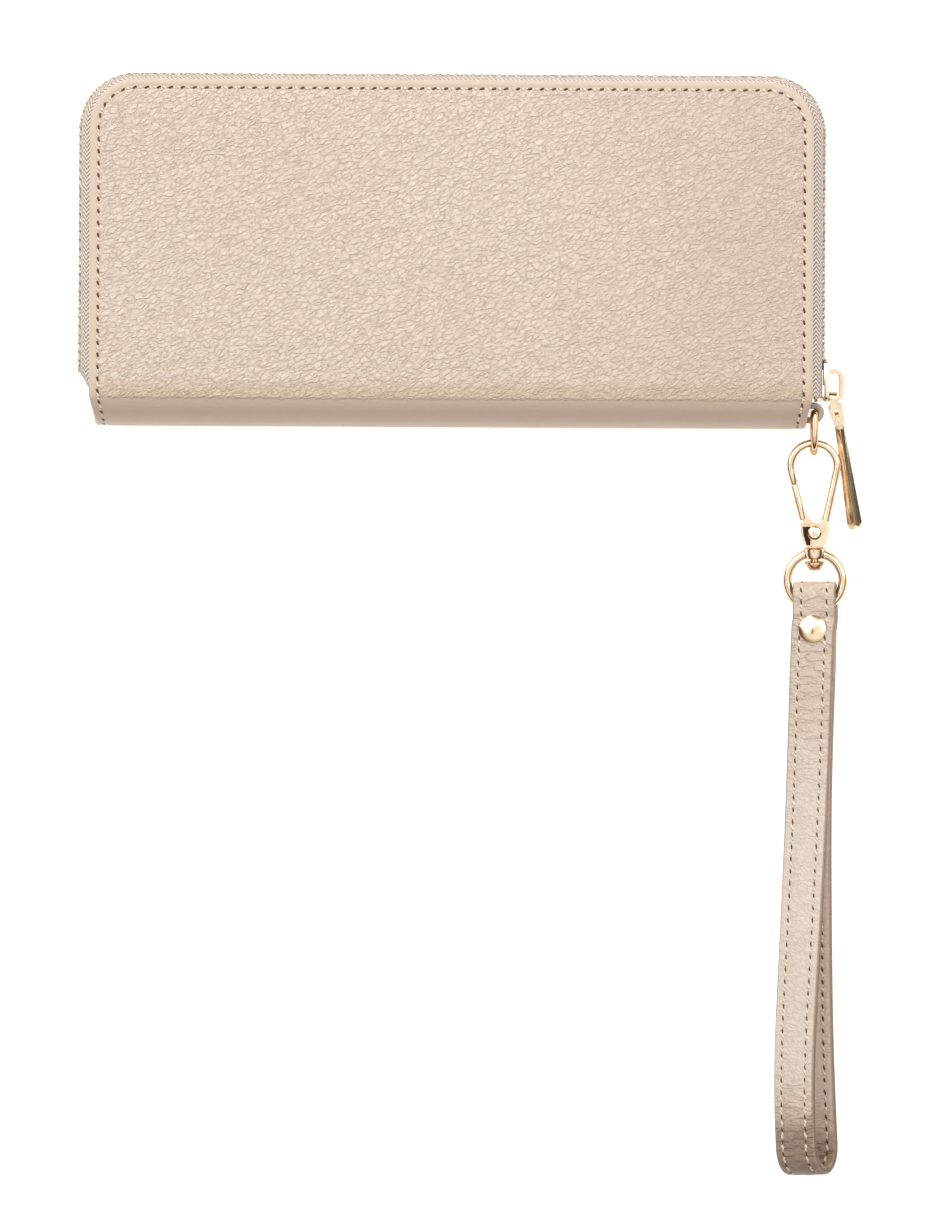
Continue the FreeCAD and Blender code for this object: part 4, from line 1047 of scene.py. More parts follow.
def run_of(name, paths, unit, material, step, shift=0.0, slant=0.0, scatter=0.0, seed=1):
    """One mesh of units along open paths. Each path is a list of (point, outward) in millimetres; the
    units stand a step apart, shift of a step further on."""
    graph_parts = []
    for number, path in enumerate(paths):
        length = sum((Vector(b[0]) - Vector(a[0])).length for a, b in zip(path, path[1:]))
        count = max(round(length / step), 2)
        if shift:
            path = shortened(path, length / count * shift, length / count * (1 - shift))
        mesh = bpy.data.meshes.new(name + "_line")
        mesh.from_pydata([Vector(p) * MM for p, _ in path], [(i, i + 1) for i in range(len(path) - 1)], [])
        outward = mesh.attributes.new("outward", "FLOAT_VECTOR", "POINT")
        outward.data.foreach_set("vector", [c for _, n in path for c in Vector(n)])
        line = bpy.data.objects.new(name + "_line", mesh)
        bpy.context.scene.collection.objects.link(line)
        tree = run_tree()
        laid = line.modifiers.new("Run", "NODES")
        laid.node_group = tree
        values = {
            "Count": count if shift else count + 1, "Slant": math.radians(slant),
            "Scatter": math.radians(scatter), "Seed": seed + number, "Unit": unit, "Finish": material,
        }
        for socket in tree.interface.items_tree:
            if socket.item_type == "SOCKET" and socket.in_out == "INPUT" and socket.name in values:
                laid[socket.identifier] = values[socket.name]
        graph_parts.append(settle(line))
    made = gathered(name, graph_parts, material)
    made.data.shade_smooth()
    return made


def shortened(path, start, end):
    """The path with a length taken off each end."""
    for _ in range(2):
        path = path[::-1]
        left = end
        start, end = end, start
        while left > 0:
            a, b = Vector(path[0][0]), Vector(path[1][0])
            gap = (b - a).length
            if gap > left:
                path = [(a + (b - a) * (left / gap), path[0][1])] + path[1:]
                left = 0
            else:
                left -= gap
                path = path[1:]
    return path


def wallet_settings(context, key):
    """The add-on's settings on this scene."""
    return getattr(context.scene, key)


def cover_stitch_path(front):
    """Line of the cover's stitching in its groove."""
    z = height_of(STITCH_SEAT, front)
    up = (0, 0, 1) if front else (0, 0, -1)
    return [((x, y, z), up) for x, y in rim_path(STITCH_INSET)]


def spine_stitch_path(side):
    """The stitching carried round one end of the spine."""
    path = []
    for y, z, a, _ in spine_path():
        out = (0.0, -math.sin(a), math.cos(a))
        x = side * (spine_half(y) - STITCH_INSET)
        path.append(((x, y + STITCH_SEAT * math.sin(a), z - STITCH_SEAT * math.cos(a)), out))
    return path


def zip_line(end_left, end_right):
    """Points of the cover's edge with their outward direction and bulge, left to right."""
    cx, cy = HALF_X - CORNER_R, TOP_Y - CORNER_R
    line = []
    for i in range(ZIP_ROWS):
        y = end_left + (cy - end_left) * i / ZIP_ROWS
        line.append(((-HALF_X, y), (-1.0, 0.0), BULGE["left"]))
    for k in range(CORNER_STEPS + 1):
        a = math.pi * (1 - 0.5 * k / CORNER_STEPS)
        n = (math.cos(a), math.sin(a))
        place = (-cx + CORNER_R * n[0], cy + CORNER_R * n[1])
        turn = k / CORNER_STEPS
        line.append((place, n, BULGE["left"] + (BULGE["top"] - BULGE["left"]) * turn))
    for i in range(1, ZIP_ROWS * 2):
        line.append(((-cx + 2 * cx * i / (ZIP_ROWS * 2), TOP_Y), (0.0, 1.0), BULGE["top"]))
    for k in range(CORNER_STEPS + 1):
        a = math.pi * (0.5 - 0.5 * k / CORNER_STEPS)
        n = (math.cos(a), math.sin(a))
        turn = 1 - k / CORNER_STEPS
        place = (cx + CORNER_R * n[0], cy + CORNER_R * n[1])
        line.append((place, n, BULGE["right"] + (BULGE["top"] - BULGE["right"]) * turn))
    for i in range(1, ZIP_ROWS + 1):
        y = cy + (end_right - cy) * i / ZIP_ROWS
        line.append(((HALF_X, y), (1.0, 0.0), BULGE["right"]))
    return line


def tape_shell(name, front, material):
    """Half of the zip tape: sewn flange under the cover's edge, then a rounded bulge to the teeth."""
    line = zip_line(TAPE_LEFT_Y, TAPE_RIGHT_Y)
    sections, flats = [], []
    along = 0.0
    for i, (place, n, bulge) in enumerate(line):
        if i:
            along += (Vector(place) - Vector(line[i - 1][0])).length
        if place[0] < 0 and place[1] < TAPE_FULL_Y:
            bulge = 0.2 + (bulge - 0.2) * smoothstep(TAPE_LEFT_Y, TAPE_FULL_Y, place[1])
        reach = bulge - TOOTH_DEPTH / 2 + 1
        z0 = COVER_STACK + TAPE_T / 2
        z1 = MID_Z - CHAIN_HALF
        curve = [(-6.0, z0, 0.0), (-3.0, z0, 0.0)]
        for k in range(9):
            a = math.pi / 2 * k / 8
            curve.append((-1 + reach * math.sin(a), z0 + (z1 - z0) * (1 - math.cos(a)), a))
        lower, upper = [], []
        across = 0.0
        for c, (m, z, a) in enumerate(curve):
            if c:
                across += math.hypot(m - curve[c - 1][0], z - curve[c - 1][1])
            dn, dz = -math.sin(a) * TAPE_T / 2, math.cos(a) * TAPE_T / 2
            lower.append((m - dn, z - dz, across))
            upper.append((m + dn, z + dz, across))
        section = []
        for m, z, run in lower + upper[::-1]:
            section.append((place[0] + n[0] * m, place[1] + n[1] * m, height_of(z, front)))
            flats.append((along, run))
        sections.append(section)
    points, faces = skinned(sections)
    return build(name, points, faces, material, flats)


def chain_path(run, front):
    """Path of the teeth of one run, at the outside of the chain, with each tooth's own up."""
    z = MID_Z + CHAIN_HALF if front else MID_Z - CHAIN_HALF
    up = (0, 0, -1) if front else (0, 0, 1)
    cy = TOP_Y - CORNER_R
    path = []
    for place, n, bulge in zip_line(TEETH_START_Y, TEETH_START_Y):
        on_right = place[0] > 0 and place[1] < cy + 0.01
        if (run == "right") == on_right or (run != "right" and place[0] > 0 and abs(place[1] - cy) < 0.01):
            path.append(((place[0] + n[0] * bulge, place[1] + n[1] * bulge, z), up))
    return path


def hook_matrix(twist=0.0):
    """From the hook's own frame, in millimetres, to its place on the D ring."""
    turn = Matrix.Rotation(math.radians(HOOK_YAW), 4, "Z") @ Matrix.Rotation(math.radians(HOOK_SLOPE), 4, "X")
    return Matrix.Translation(HOOK_TOP) @ turn @ Matrix.Rotation(math.radians(-twist), 4, "Y")


def arm_tangent():
    """Where an arm leaves the bow, as (x, s)."""
    ds = NECK_S - BOW_R
    a = math.atan2(ds, NECK_X) - math.acos(BOW_R / math.hypot(ds, NECK_X))
    return BOW_R * math.cos(a), BOW_R + BOW_R * math.sin(a)


def arm_x(s):
    """Distance of an arm's middle from the hook's axis, a distance down the hook."""
    tx, ts = arm_tangent()
    return tx + (NECK_X - tx) * (s - ts) / (NECK_S - ts)


def strap_lift(twist, half):
    """Height of the strap's middle where its lowest edge just clears the table."""
    a = math.radians(twist)
    return STRAP_FLOOR + (half + STRAP_T / 2) * math.cos(a) + STRAP_W / 2 * math.sin(a)


def strap_stations(fine=4):
    """The strap's middle line, smoothed: place, width, face normal, run and half separation."""
    line = []
    for s in (TURN_END_S, TAIL_S):
        line.append((hook_matrix() @ Vector((0, -s, 0)), RING_TWIST, TURN_HALF))
    for x, y, twist, half in STRAP_MID:
        line.append((Vector((x, y, strap_lift(twist, half))), twist, half))
    dense = []
    for i in range(len(line) - 1):
        p0, p1, p2, p3 = (line[max(min(i + k, len(line) - 1), 0)] for k in (-1, 0, 1, 2))
        for k in range(fine):
            t = k / fine
            values = []
            for q0, q1, q2, q3 in zip(*[(*p[0], p[1], p[2]) for p in (p0, p1, p2, p3)]):
                values.append(0.5 * (2 * q1 + (q2 - q0) * t + (2 * q0 - 5 * q1 + 4 * q2 - q3) * t * t
                                     + (3 * q1 - q0 - 3 * q2 + q3) * t ** 3))
            dense.append((Vector(values[:3]), values[3], values[4]))
    dense.append(line[-1])
    stations = []
    for i, (here, twist, half) in enumerate(dense):
        before, after = dense[max(i - 1, 0)][0], dense[min(i + 1, len(dense) - 1)][0]
        run = (after - before).normalized()
        if i == 0:
            run = (hook_matrix().to_3x3() @ Vector((0, -1, 0))).normalized()
        a = math.radians(twist)
        width = Vector((math.cos(a), 0, math.sin(a)))
        width = (width - run * width.dot(run)).normalized()
        stations.append((here, width, width.cross(run) * -1, run, half))
    return stations


def strap_outline():
    """Section of the strap: across, up from its middle and mark of the painted edge."""
    w, t, r = STRAP_W / 2, STRAP_T / 2, 0.55
    top = [(-w + r, t, 0.3), (-w + 1.3, t + 0.03, 0.0), (-w + 2.0, t, 0.0), (-w + 2.3, t - 0.14, 0.0),
           (-w + 2.7, t + 0.02, 0.0), (0.0, t + 0.1, 0.0)]
    top += [(-x, y, mark) for x, y, mark in top[-2::-1]]
    corner = [(w - r * 0.3, t - r * 0.25, 0.7), (w, t - r, 1.0)]
    side = corner + [(x, -y, mark) for x, y, mark in corner[::-1]]
    section = top + side
    return section + [(-x, -y, mark) for x, y, mark in section]


def strap_skin(name, stations, along0, crease_and_shade_at, material):
    """Strap leather through (place, width, out) stations, with a function that gives, at a distance along,
    the darkening near the ring and the mark for painted shade at the bottom bend.
    """
    sections, flats, edges, folds = [], [], [], []
    along = along0
    outline = strap_outline()
    for i, (here, width, out) in enumerate(stations):
        if i:
            along += (here - stations[i - 1][0]).length
        section = []
        for x, y, mark in outline:
            section.append(here + width * x + out * y)
            flats.append((x if y > 0 else x + 40, along))
            edges.append(mark)
            folds.append(crease_and_shade_at(along))
        sections.append(section)
    points, faces = skinned(sections)
    return build(name, points, faces, material, flats, {"edge": edges, "crease": folds}, sharp=55)


class WALLET_OT_covers(bpy.types.Operator):
    """Leather of the front, the back and the spine"""

    bl_idname = "wallet.covers"
    bl_label = "Covers"

    def execute(self, context):
        settings = wallet_settings(context, "wallet_leather")
        hide = grained_cowhide("Pebbled cowhide, wax finished", settings)
        finish(cover_shell("front_leather", True, hide), "front_half", "cover_leather", "front_cover")
        finish(cover_shell("back_leather", False, hide), "back_half", "cover_leather", "back_cover")
        finish(spine_shell("spine_leather", hide), None, "cover_leather", "spine_fold")
        return {"FINISHED"}


class WALLET_OT_cover_stitching(bpy.types.Operator):
    """Stitching round the covers and the ends of the spine"""

    bl_idname = "wallet.cover_stitching"
    bl_label = "Cover stitching"

    def execute(self, context):
        settings = wallet_settings(context, "wallet_leather")
        thread = waxed_thread("Waxed polyester thread", settings.thread)
        # The awl holes are dark marks: painted shade in the holes.
        hole = needle_hole_shade("Awl holes in cowhide")
        stitch = capsule("stitch_unit", settings.stitch * 0.66, 0.36, 0.8, thread)
        slit = capsule("hole_unit", 1.35, 0.35, 0.3, hole)
        for half, front in (("front", True), ("back", False)):
            paths = [cover_stitch_path(front)]
            threads = run_of(half + "_stitches", paths, stitch, thread, settings.stitch, 0.5, 4, 4)
            finish(threads, half + "_half", "cover_leather")
            holes = run_of(half + "_stitch_holes", paths, slit, hole, settings.stitch, 0.0, 28, 8, 7)
            finish(holes, half + "_half", "cover_leather")
        ends = [spine_stitch_path(-1), spine_stitch_path(1)]
        for name, unit, material, shift, slant in (
            ("spine_stitches", stitch, thread, 0.5, 4), ("spine_stitch_holes", slit, hole, 0.0, 28)
        ):
            made = run_of(name, ends, unit, material, settings.stitch, shift, slant, 4)
            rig.blend(made, "back_half", "front_half", start=SPINE_BLEND[0], end=SPINE_BLEND[1])
            finish(made, None, "cover_leather")
        for unit in (stitch, slit):
            bpy.data.objects.remove(unit)
        return {"FINISHED"}


class WALLET_OT_zip(bpy.types.Operator):
    """Zip tapes, teeth and end stops"""

    bl_idname = "wallet.zip"
    bl_label = "Zip"

    def execute(self, context):
        settings = wallet_settings(context, "wallet_zip")
        tape = woven_tape("Herringbone polyester tape", settings)
        brass = tooth_plating("Cast teeth, light brass plating", settings)
        unit = tooth_unit("tooth_unit", brass)
        for half, front, shift in (("back", False, 0.25), ("front", True, 0.75)):
            body = half + "_half"
            finish(tape_shell(half + "_tape", front, tape), body, "zip_tape", half + "_zip_tape")
            for run, suffix in (("long", ""), ("right", "_right")):
                path = chain_path(run, front)
                if front:
                    path = path[::-1]
                start = 1 - shift if front else shift
                teeth = run_of(half + "_teeth" + suffix, [path], unit, brass, settings.pitch, start)
                finish(teeth, body, "zip_teeth", half + "_zip_teeth" + suffix)
            node = half + "_zip_stop"
            finish(copied(node, half + "_stop", brass, 0.15), body, "zip_teeth", node)
        bpy.data.objects.remove(unit)
        return {"FINISHED"}


class WALLET_OT_zip_slider(bpy.types.Operator):
    """Zip slider with its link, pin and pull bar"""

    bl_idname = "wallet.zip_slider"
    bl_label = "Zip slider and pull"

    def execute(self, context):
        settings = wallet_settings(context, "wallet_metal")
        gilt = gilt_plating("Pale gold plating, polished", settings)
        finish(copied("zip_slider", "slider", gilt, 0.2), "slider", "gilt_metal", "zip_slider")
        finish(copied("pull_link", "link_clip", gilt, 0.2), "link", "gilt_metal", "pull_link")
        finish(copied("pull_pin", "link_pin", gilt, 0.08), "link", "gilt_metal", "pull_pin")
        finish(copied("pull_bar", "pull_tag", gilt, 1.1, 12.0), "puller", "gilt_metal", "pull_bar")
        return {"FINISHED"}


class WALLET_OT_inside(bpy.types.Operator):
    """Boards, linings, card pockets and gussets"""

    bl_idname = "wallet.inside"
    bl_label = "Inside"

    def execute(self, context):
        cloth = lining_twill("Polyester lining twill", linear("#CDB9A4"))
        card = lined_leather("Smooth pocket leather", linear("#DCC7B0"), linear("#BBA287"), 0.9)
        fold = lined_leather("Thin gusset leather", linear("#CDB79F"), linear("#A98F76"), 0.7)
        board = pasteboard("Grey pasteboard")
        for half, front in (("back", False), ("front", True)):
            body = half + "_half"
            frame["nodes"][half + "_board"].data.materials.clear()
            frame["nodes"][half + "_board"].data.materials.append(board)
            finish(self.lining(half, front, cloth), body, "lining", half + "_lining")
            for i in range(4):
                piece = self.pocket_row(half + "_pockets_%d" % (i + 1), i, front, card)
                finish(piece, body, "pocket_leather", "%s_card_pocket_%d" % (half, i + 1))
            for name, side in (("left", -1), ("right", 1)):
                node = "%s_gusset_%s" % (half, name)
                made = self.gusset(node + "_fold", side, front, fold)
                if front:
                    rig.blend(made, "back_half", "front_half", start=(0, 0, 0.0072), end=(0, 0, 0.0186))
                else:
                    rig.blend(made, "back_half", "coin_pouch", start=(0, 0, 0.0024), end=(0, 0, 0.0081))
                finish(made, None, "lining", node)
        return {"FINISHED"}

    @staticmethod
    def lining(half, front, material):
        """Lining cloth in the frame of the turned edge."""
        loops, points, faces = [], [], []
        for inset, depth in ((7.0, 2.0), (7.0, 2.32), (7.25, 2.4), (12.5, 2.4)):
            path = rim_path(inset)
            start = len(points)
            points += [(x, y, height_of(depth, front)) for x, y in path]
            loops.append(list(range(start, start + len(path))))
        for a, b in zip(loops, loops[1:]):
            for i in range(len(a)):
                j = (i + 1) % len(a)
                faces.append((a[i], a[j], b[j], b[i]))
        faces.append(tuple(loops[0]))
        faces.append(tuple(loops[-1]))
        return build(half + "_lining_cloth", points, faces, material)

    @staticmethod
    def pocket_row(name, index, front, material):
        """Two card pockets of one row, each a thin sheet with softened edges and a thumb dip."""
        parts = []
        z0 = COVER_STACK + POCKET_T * index
        top = POCKET_TOP - POCKET_STEP * index
        for x0, x1 in ((-POCKET_X, -1.0), (1.0, POCKET_X)):
            rim = []
            for k in range(25):
                x = x0 + (x1 - x0) * k / 24
                dip = 2.2 * math.exp(-((x - (x0 + x1) / 2) / 11.0) ** 2)
                rim.append((x, top - dip))
            outline = [(x0, BEND_Y + 1.2), (x1, BEND_Y + 1.2)] + rim[::-1]
            levels = [height_of(z, front) for z in (z0, z0 + POCKET_T)]
            parts.append(skinned([[(x, y, z) for x, y in outline] for z in levels]))
        points, faces = joined(parts)
        return softened(build(name, points, faces, material, merge=False), 0.1, 2)

    @staticmethod
    def gusset(name, side, front, material):
        """Thin folded side of a bill compartment, rounded at its fold."""
        z0, z1 = COVER_STACK, POUCH_Z
        middle, half = (z0 + z1) / 2, (z1 - z0) / 2
        curve = [(85.6, z0 + 0.2), (86.6, z0 + 0.2)]
        for k in range(13):
            a = math.pi * (k / 12 - 0.5)
            curve.append((87.0 + 2.6 * math.cos(a), middle + (half - 0.2) * math.sin(a)))
        curve += [(86.6, z1 - 0.2), (85.6, z1 - 0.2)]
        outer, inner = [], []
        for i, (x, z) in enumerate(curve):
            a, b = curve[max(i - 1, 0)], curve[min(i + 1, len(curve) - 1)]
            run = Vector((b[0] - a[0], b[1] - a[1])).normalized()
            outer.append((x + run.y * 0.19, z - run.x * 0.19))
            inner.append((x - run.y * 0.19, z + run.x * 0.19))
        sections = []
        for k in range(25):
            y = -34.0 + 69.0 * k / 24
            pinch = 0.15 * math.sin(y / 3.1 + side)
            section = []
            for x, z in outer + inner[::-1]:
                x = side * (x + pinch * smoothstep(87, 90, x))
                section.append((x, y, height_of(z, front)))
            sections.append(section)
        points, faces = skinned(sections)
        return build(name, points, faces, material)


class WALLET_OT_coin_pouch(bpy.types.Operator):
    """Zipped coin pouch between the two bill compartments"""

    bl_idname = "wallet.coin_pouch"
    bl_label = "Coin pouch"

    def execute(self, context):
        cloth = lining_twill("Polyester lining twill", linear("#CDB9A4"))
        tape = woven_tape("Herringbone polyester tape", wallet_settings(context, "wallet_zip"))
        brass = tooth_plating("Cast teeth, light brass plating", wallet_settings(context, "wallet_zip"))
        gilt = gilt_plating("Pale gold plating, polished", wallet_settings(context, "wallet_metal"))
        for half, front in (("back", False), ("front", True)):
            wall = self.wall("coin_wall_" + half, front, cloth)
            finish(wall, "coin_pouch", "lining", "coin_pouch_" + half)
        strips = copied("coin_zip_tape", "coin_tape", tape, 0.08)
        flat = strips.data.uv_layers.get("Surface") or strips.data.uv_layers.new(name="Surface")
        for loop in strips.data.loops:
            p = strips.data.vertices[loop.vertex_index].co
            flat.data[loop.index].uv = (p.x / (UV_MM * MM), p.z / (UV_MM * MM))
        finish(strips, "coin_pouch", "zip_tape", "coin_zip_tape")
        for node, name, material, body, slot in (
            ("coin_zip_teeth", "coin_teeth", brass, "coin_pouch", "zip_teeth"),
            ("coin_zip_slider", "coin_slider_body", gilt, "coin_slider", "gilt_metal"),
            ("coin_zip_pull", "coin_pull_tag", gilt, "coin_pull", "gilt_metal"),
        ):
            finish(copied(node, name, material, 0.12), body, slot, node)
        return {"FINISHED"}

    @staticmethod
    def wall(name, front, material):
        """Half of the pouch: a flat cloth panel with turned sides and a wall across one end."""
        x, y0, y1, z0, t = 88.0, -37.0, 38.0, POUCH_Z, 0.6
        outline = [
            (-x, MID_Z), (-x, z0 + 0.5), (-x + 0.5, z0), (-40.0, z0), (0.0, z0), (40.0, z0), (x - 0.5, z0),
            (x, z0 + 0.5), (x, MID_Z), (x - t, MID_Z), (x - t, z0 + t), (40.0, z0 + t), (0.0, z0 + t),
            (-40.0, z0 + t), (-x + t, z0 + t), (-x + t, MID_Z),
        ]
        sections = []
        for k in range(17):
            y = y0 + (y1 - y0) * k / 16
            sections.append([(px, y, height_of(z, front)) for px, z in outline])
        floor = [(-x + t, y0), (x - t, y0), (x - t, y0 + t), (-x + t, y0 + t)]
        low = [(px, py, height_of(z0 + t, front)) for px, py in floor]
        high = [(px, py, MID_Z) for px, py in floor]
        points, faces = joined([skinned(sections), skinned([low, high])])
        return build(name, points, faces, material, merge=False)


class WALLET_OT_corner_ring(bpy.types.Operator):
    """Corner tab with its D ring"""

    bl_idname = "wallet.corner_ring"
    bl_label = "Corner tab and D ring"

    def execute(self, context):
        settings = wallet_settings(context, "wallet_metal")
        gilt = gilt_plating("Rose gold plating, polished", settings, linear(ROSE_GOLD))
        taupe = lined_leather("Grey taupe tab leather", linear("#D2C4B9"), linear("#A6988D"), 0.8)
        tab = copied("corner_tab", "tab_leather", taupe, 0.45)
        finish(tab, "back_half", "cover_leather", "corner_tab")
        filler = copied("corner_tab_filler", "tab_filler_leather", taupe, 0.15)
        finish(filler, "back_half", "cover_leather", "corner_tab_filler")
        z0, z1, r = MID_Z - D_HALF, MID_Z + D_HALF, 1.3
        y = TAB_Y - r
        turns = [math.pi / 2 * k / 5 for k in range(6)]
        path = [(D_X, y + r * math.sin(a), z1 - r + r * math.cos(a)) for a in turns]
        path += [(D_X, y + r * math.cos(a), z0 + r - r * math.sin(a)) for a in turns]
        for k in range(1, 32):
            a = math.pi * k / 32
            path.append((D_X, D_ARC_Y - D_HALF * math.sin(a), MID_Z - D_HALF * math.cos(a)))
        points, faces = bent_bar(path, 0.9, Vector((1, 0, 0)), True)
        finish(build("d_ring_bar", points, faces, gilt), "d_ring", "gilt_metal", "corner_ring")
        return {"FINISHED"}


class WALLET_OT_snap_hook(bpy.types.Operator):
    """Snap hook: bow, gate, rivet, spring, swivel and strap ring"""

    bl_idname = "wallet.snap_hook"
    bl_label = "Snap hook and swivel"

    def execute(self, context):
        settings = wallet_settings(context, "wallet_metal")
        gilt = gilt_plating("Pale gold plating, polished", settings)
        rose = gilt_plating("Rose gold plating, polished", settings, linear(ROSE_GOLD))
        dark = dark_steel_and_slot_shade("Oiled dark steel")
        place = hook_matrix()
        finish(self.bow(place, gilt), "snap_hook", "gilt_metal", "snap_hook_frame")
        # A dark sheet at the floor of the slot through the plate: painted shade in the slot.
        outline = [(-3.0, -22.4), (-1.2, -22.4), (-1.2, -27.3), (-2.25, -27.1), (-2.85, -24.6)]
        floor = prism([(x, y, RECESS_Z - 0.01) for x, y in outline], (0, 0, 0.04))
        floor = build("hook_recess", *moved(floor, place), dark)
        finish(floor, "snap_hook", "gilt_metal")
        finish(self.gate(place, gilt), "hook_gate", "gilt_metal", "snap_hook_gate")
        rivet = [
            (0.0, 2.02), (0.75, 2.0), (0.85, 1.93), (1.0, 1.93), (1.15, 2.0), (1.6, 1.86), (1.85, 1.6),
            (1.8, 1.5), (0.9, 1.5), (0.9, -1.5), (1.75, -1.5), (1.85, -1.6), (1.6, -1.85), (0.0, -1.85),
        ]
        parts = moved(turned(rivet, (0, -PIVOT_S, 0), (0, 0, 1), 40), place)
        finish(build("hook_rivet", *parts, gilt), "snap_hook", "gilt_metal", "gate_rivet")
        finish(copied("gate_spring", "hook_spring", dark, 0.05), "snap_hook", "gilt_metal", "gate_spring")
        pin = [
            (0.0, 28.0), (1.2, 28.0), (1.2, 32.5), (2.0, 32.5), (2.1, 32.7), (1.95, 33.3), (1.5, 33.9),
            (0.9, 34.1), (0.0, 34.15),
        ]
        washer = [
            (1.25, 31.85), (2.45, 31.8), (2.65, 31.95), (2.65, 32.35), (2.45, 32.5), (1.25, 32.5),
            (1.25, 31.85),
        ]
        for name, profile, plating, node in (
            ("swivel_post", pin, rose, "swivel_pin"), ("swivel_disc", washer, gilt, "swivel_washer")
        ):
            parts = moved(turned(profile, (0, 0, 0), (0, -1, 0), 32), place)
            finish(build(name, *parts, plating), "snap_hook", "gilt_metal", node)
        finish(self.ring(hook_matrix(RING_TWIST), gilt), "swivel_ring", "gilt_metal", "strap_ring")
        return {"FINISHED"}

    @staticmethod
    def bow(place, material):
        """Bow and fixed arm in one bent bar, running into the slotted plate."""
        tx, ts = arm_tangent()
        start = math.atan2(BOW_R - ts, tx)
        path = [(-arm_x(10.8), -10.8, 0), (-arm_x(10.6), -10.6, 0)]
        for k in range(33):
            a = math.pi - start + (2 * start - math.pi) * k / 32
            path.append((BOW_R * math.cos(a), BOW_R * math.sin(a) - BOW_R, 0))
        for s in (12.0, 15.0, 18.0, 20.5, 22.7):
            path.append((arm_x(s), -s, 0))
        sizes = [0.85, 1.0] + [1.05] * 33 + [1.05, 1.05, 1.08, 1.15, 1.2]
        bar = bent_bar(path, sizes, Vector((0, 0, 1)), False, 24)
        made = build("hook_bow", *moved(bar, place), material)
        cheeks = []
        for z0, z1 in ((0.65, 1.5), (-1.5, -0.65)):
            outline = [
                (-3.75, -21.4), (-3.6, -24.2), (-2.75, -27.2), (-2.1, -28.0), (2.1, -28.0), (2.75, -27.2),
                (3.75, -24.2), (3.95, -21.2), (2.4, -20.3), (0.9, -21.3), (-1.6, -21.9),
            ]
            cheeks.append(prism([(x, y, z0) for x, y in outline], (0, 0, z1 - z0)))
        bridge = [
            (2.1, -21.2), (3.9, -21.2), (3.6, -24.2), (2.75, -27.2), (2.1, -28.0), (-2.1, -28.0),
            (-2.75, -27.2), (-2.7, -26.0), (2.1, -26.0),
        ]
        cheeks.append(prism([(x, y, -0.66) for x, y in bridge], (0, 0, 1.32)))
        points, faces = joined([moved(part, place) for part in cheeks])
        window = [(-3.15, -22.3), (-1.1, -22.3), (-1.1, -27.4), (-2.3, -27.2), (-2.95, -24.6)]
        window = [(x, y, RECESS_Z) for x, y in window]
        plate = build("hook_plate", points, faces, material, merge=False)
        window = build("hook_window", *moved(prism(window, (0, 0, 1.0)), place), material)
        cut = plate.modifiers.new("Window", "BOOLEAN")
        cut.operation = "DIFFERENCE"
        cut.object = window
        settle(plate)
        old = window.data
        bpy.data.objects.remove(window)
        bpy.data.meshes.remove(old)
        return gathered("hook_body", [made, softened(plate, 0.16, 3)], material)

    @staticmethod
    def gate(place, material):
        """Sprung gate: round arm with a domed end, flat tongue and boss."""
        a, b = Vector((-arm_x(10.9), -10.9, 0)), Vector((-arm_x(20.6), -20.6, 0))
        path = [a + (b - a) * t for t in (0.0, 0.02, 0.06, 0.5, 0.9, 0.97, 1.0)]
        arm = bent_bar(path, [0.7, 0.88, 0.98, 1.0, 0.98, 0.85, 0.5], Vector((0, 0, 1)), False, 20)
        t = GATE_TONGUE_HALF
        outline = [(-4.2, -18.8, -t), (-2.5, -18.8, -t), (1.2, -22.8, -t), (-1.2, -25.2, -t)]
        tongue = prism(outline, (0, 0, 2 * t))
        boss = turned([(0.0, -t), (1.6, -t), (1.6, t), (0.0, t)], (0, -PIVOT_S, 0), (0, 0, 1), 24)
        points, faces = joined([moved(part, place) for part in (arm, tongue, boss)])
        return build("gate_arm", points, faces, material, merge=False)

    @staticmethod
    def ring(place, material):
        """Round ring, thickened where it meets the swivel's collar."""
        path, sizes = [], []
        for k in range(72):
            a = math.pi / 2 + 2 * math.pi * k / 72
            path.append((RING_R * math.cos(a), RING_R * math.sin(a) - RING_CENTRE_S, 0))
            near = max(math.cos(a - math.pi / 2), 0.0)
            sizes.append(1.2 + 0.12 * near ** 14)
        ring = bent_bar(path, sizes, Vector((0, 0, 1)), True, 24)
        collar = [
            (1.45, 28.2), (2.6, 28.2), (2.85, 28.4), (2.85, 30.0), (2.6, 30.7), (2.0, 31.0), (1.45, 31.0),
            (1.45, 28.2),
        ]
        collar = turned(collar, (0, 0, 0), (0, -1, 0), 40)
        points, faces = joined([moved(ring, place), moved(collar, place)])
        return build("swivel_ring_bar", points, faces, material)


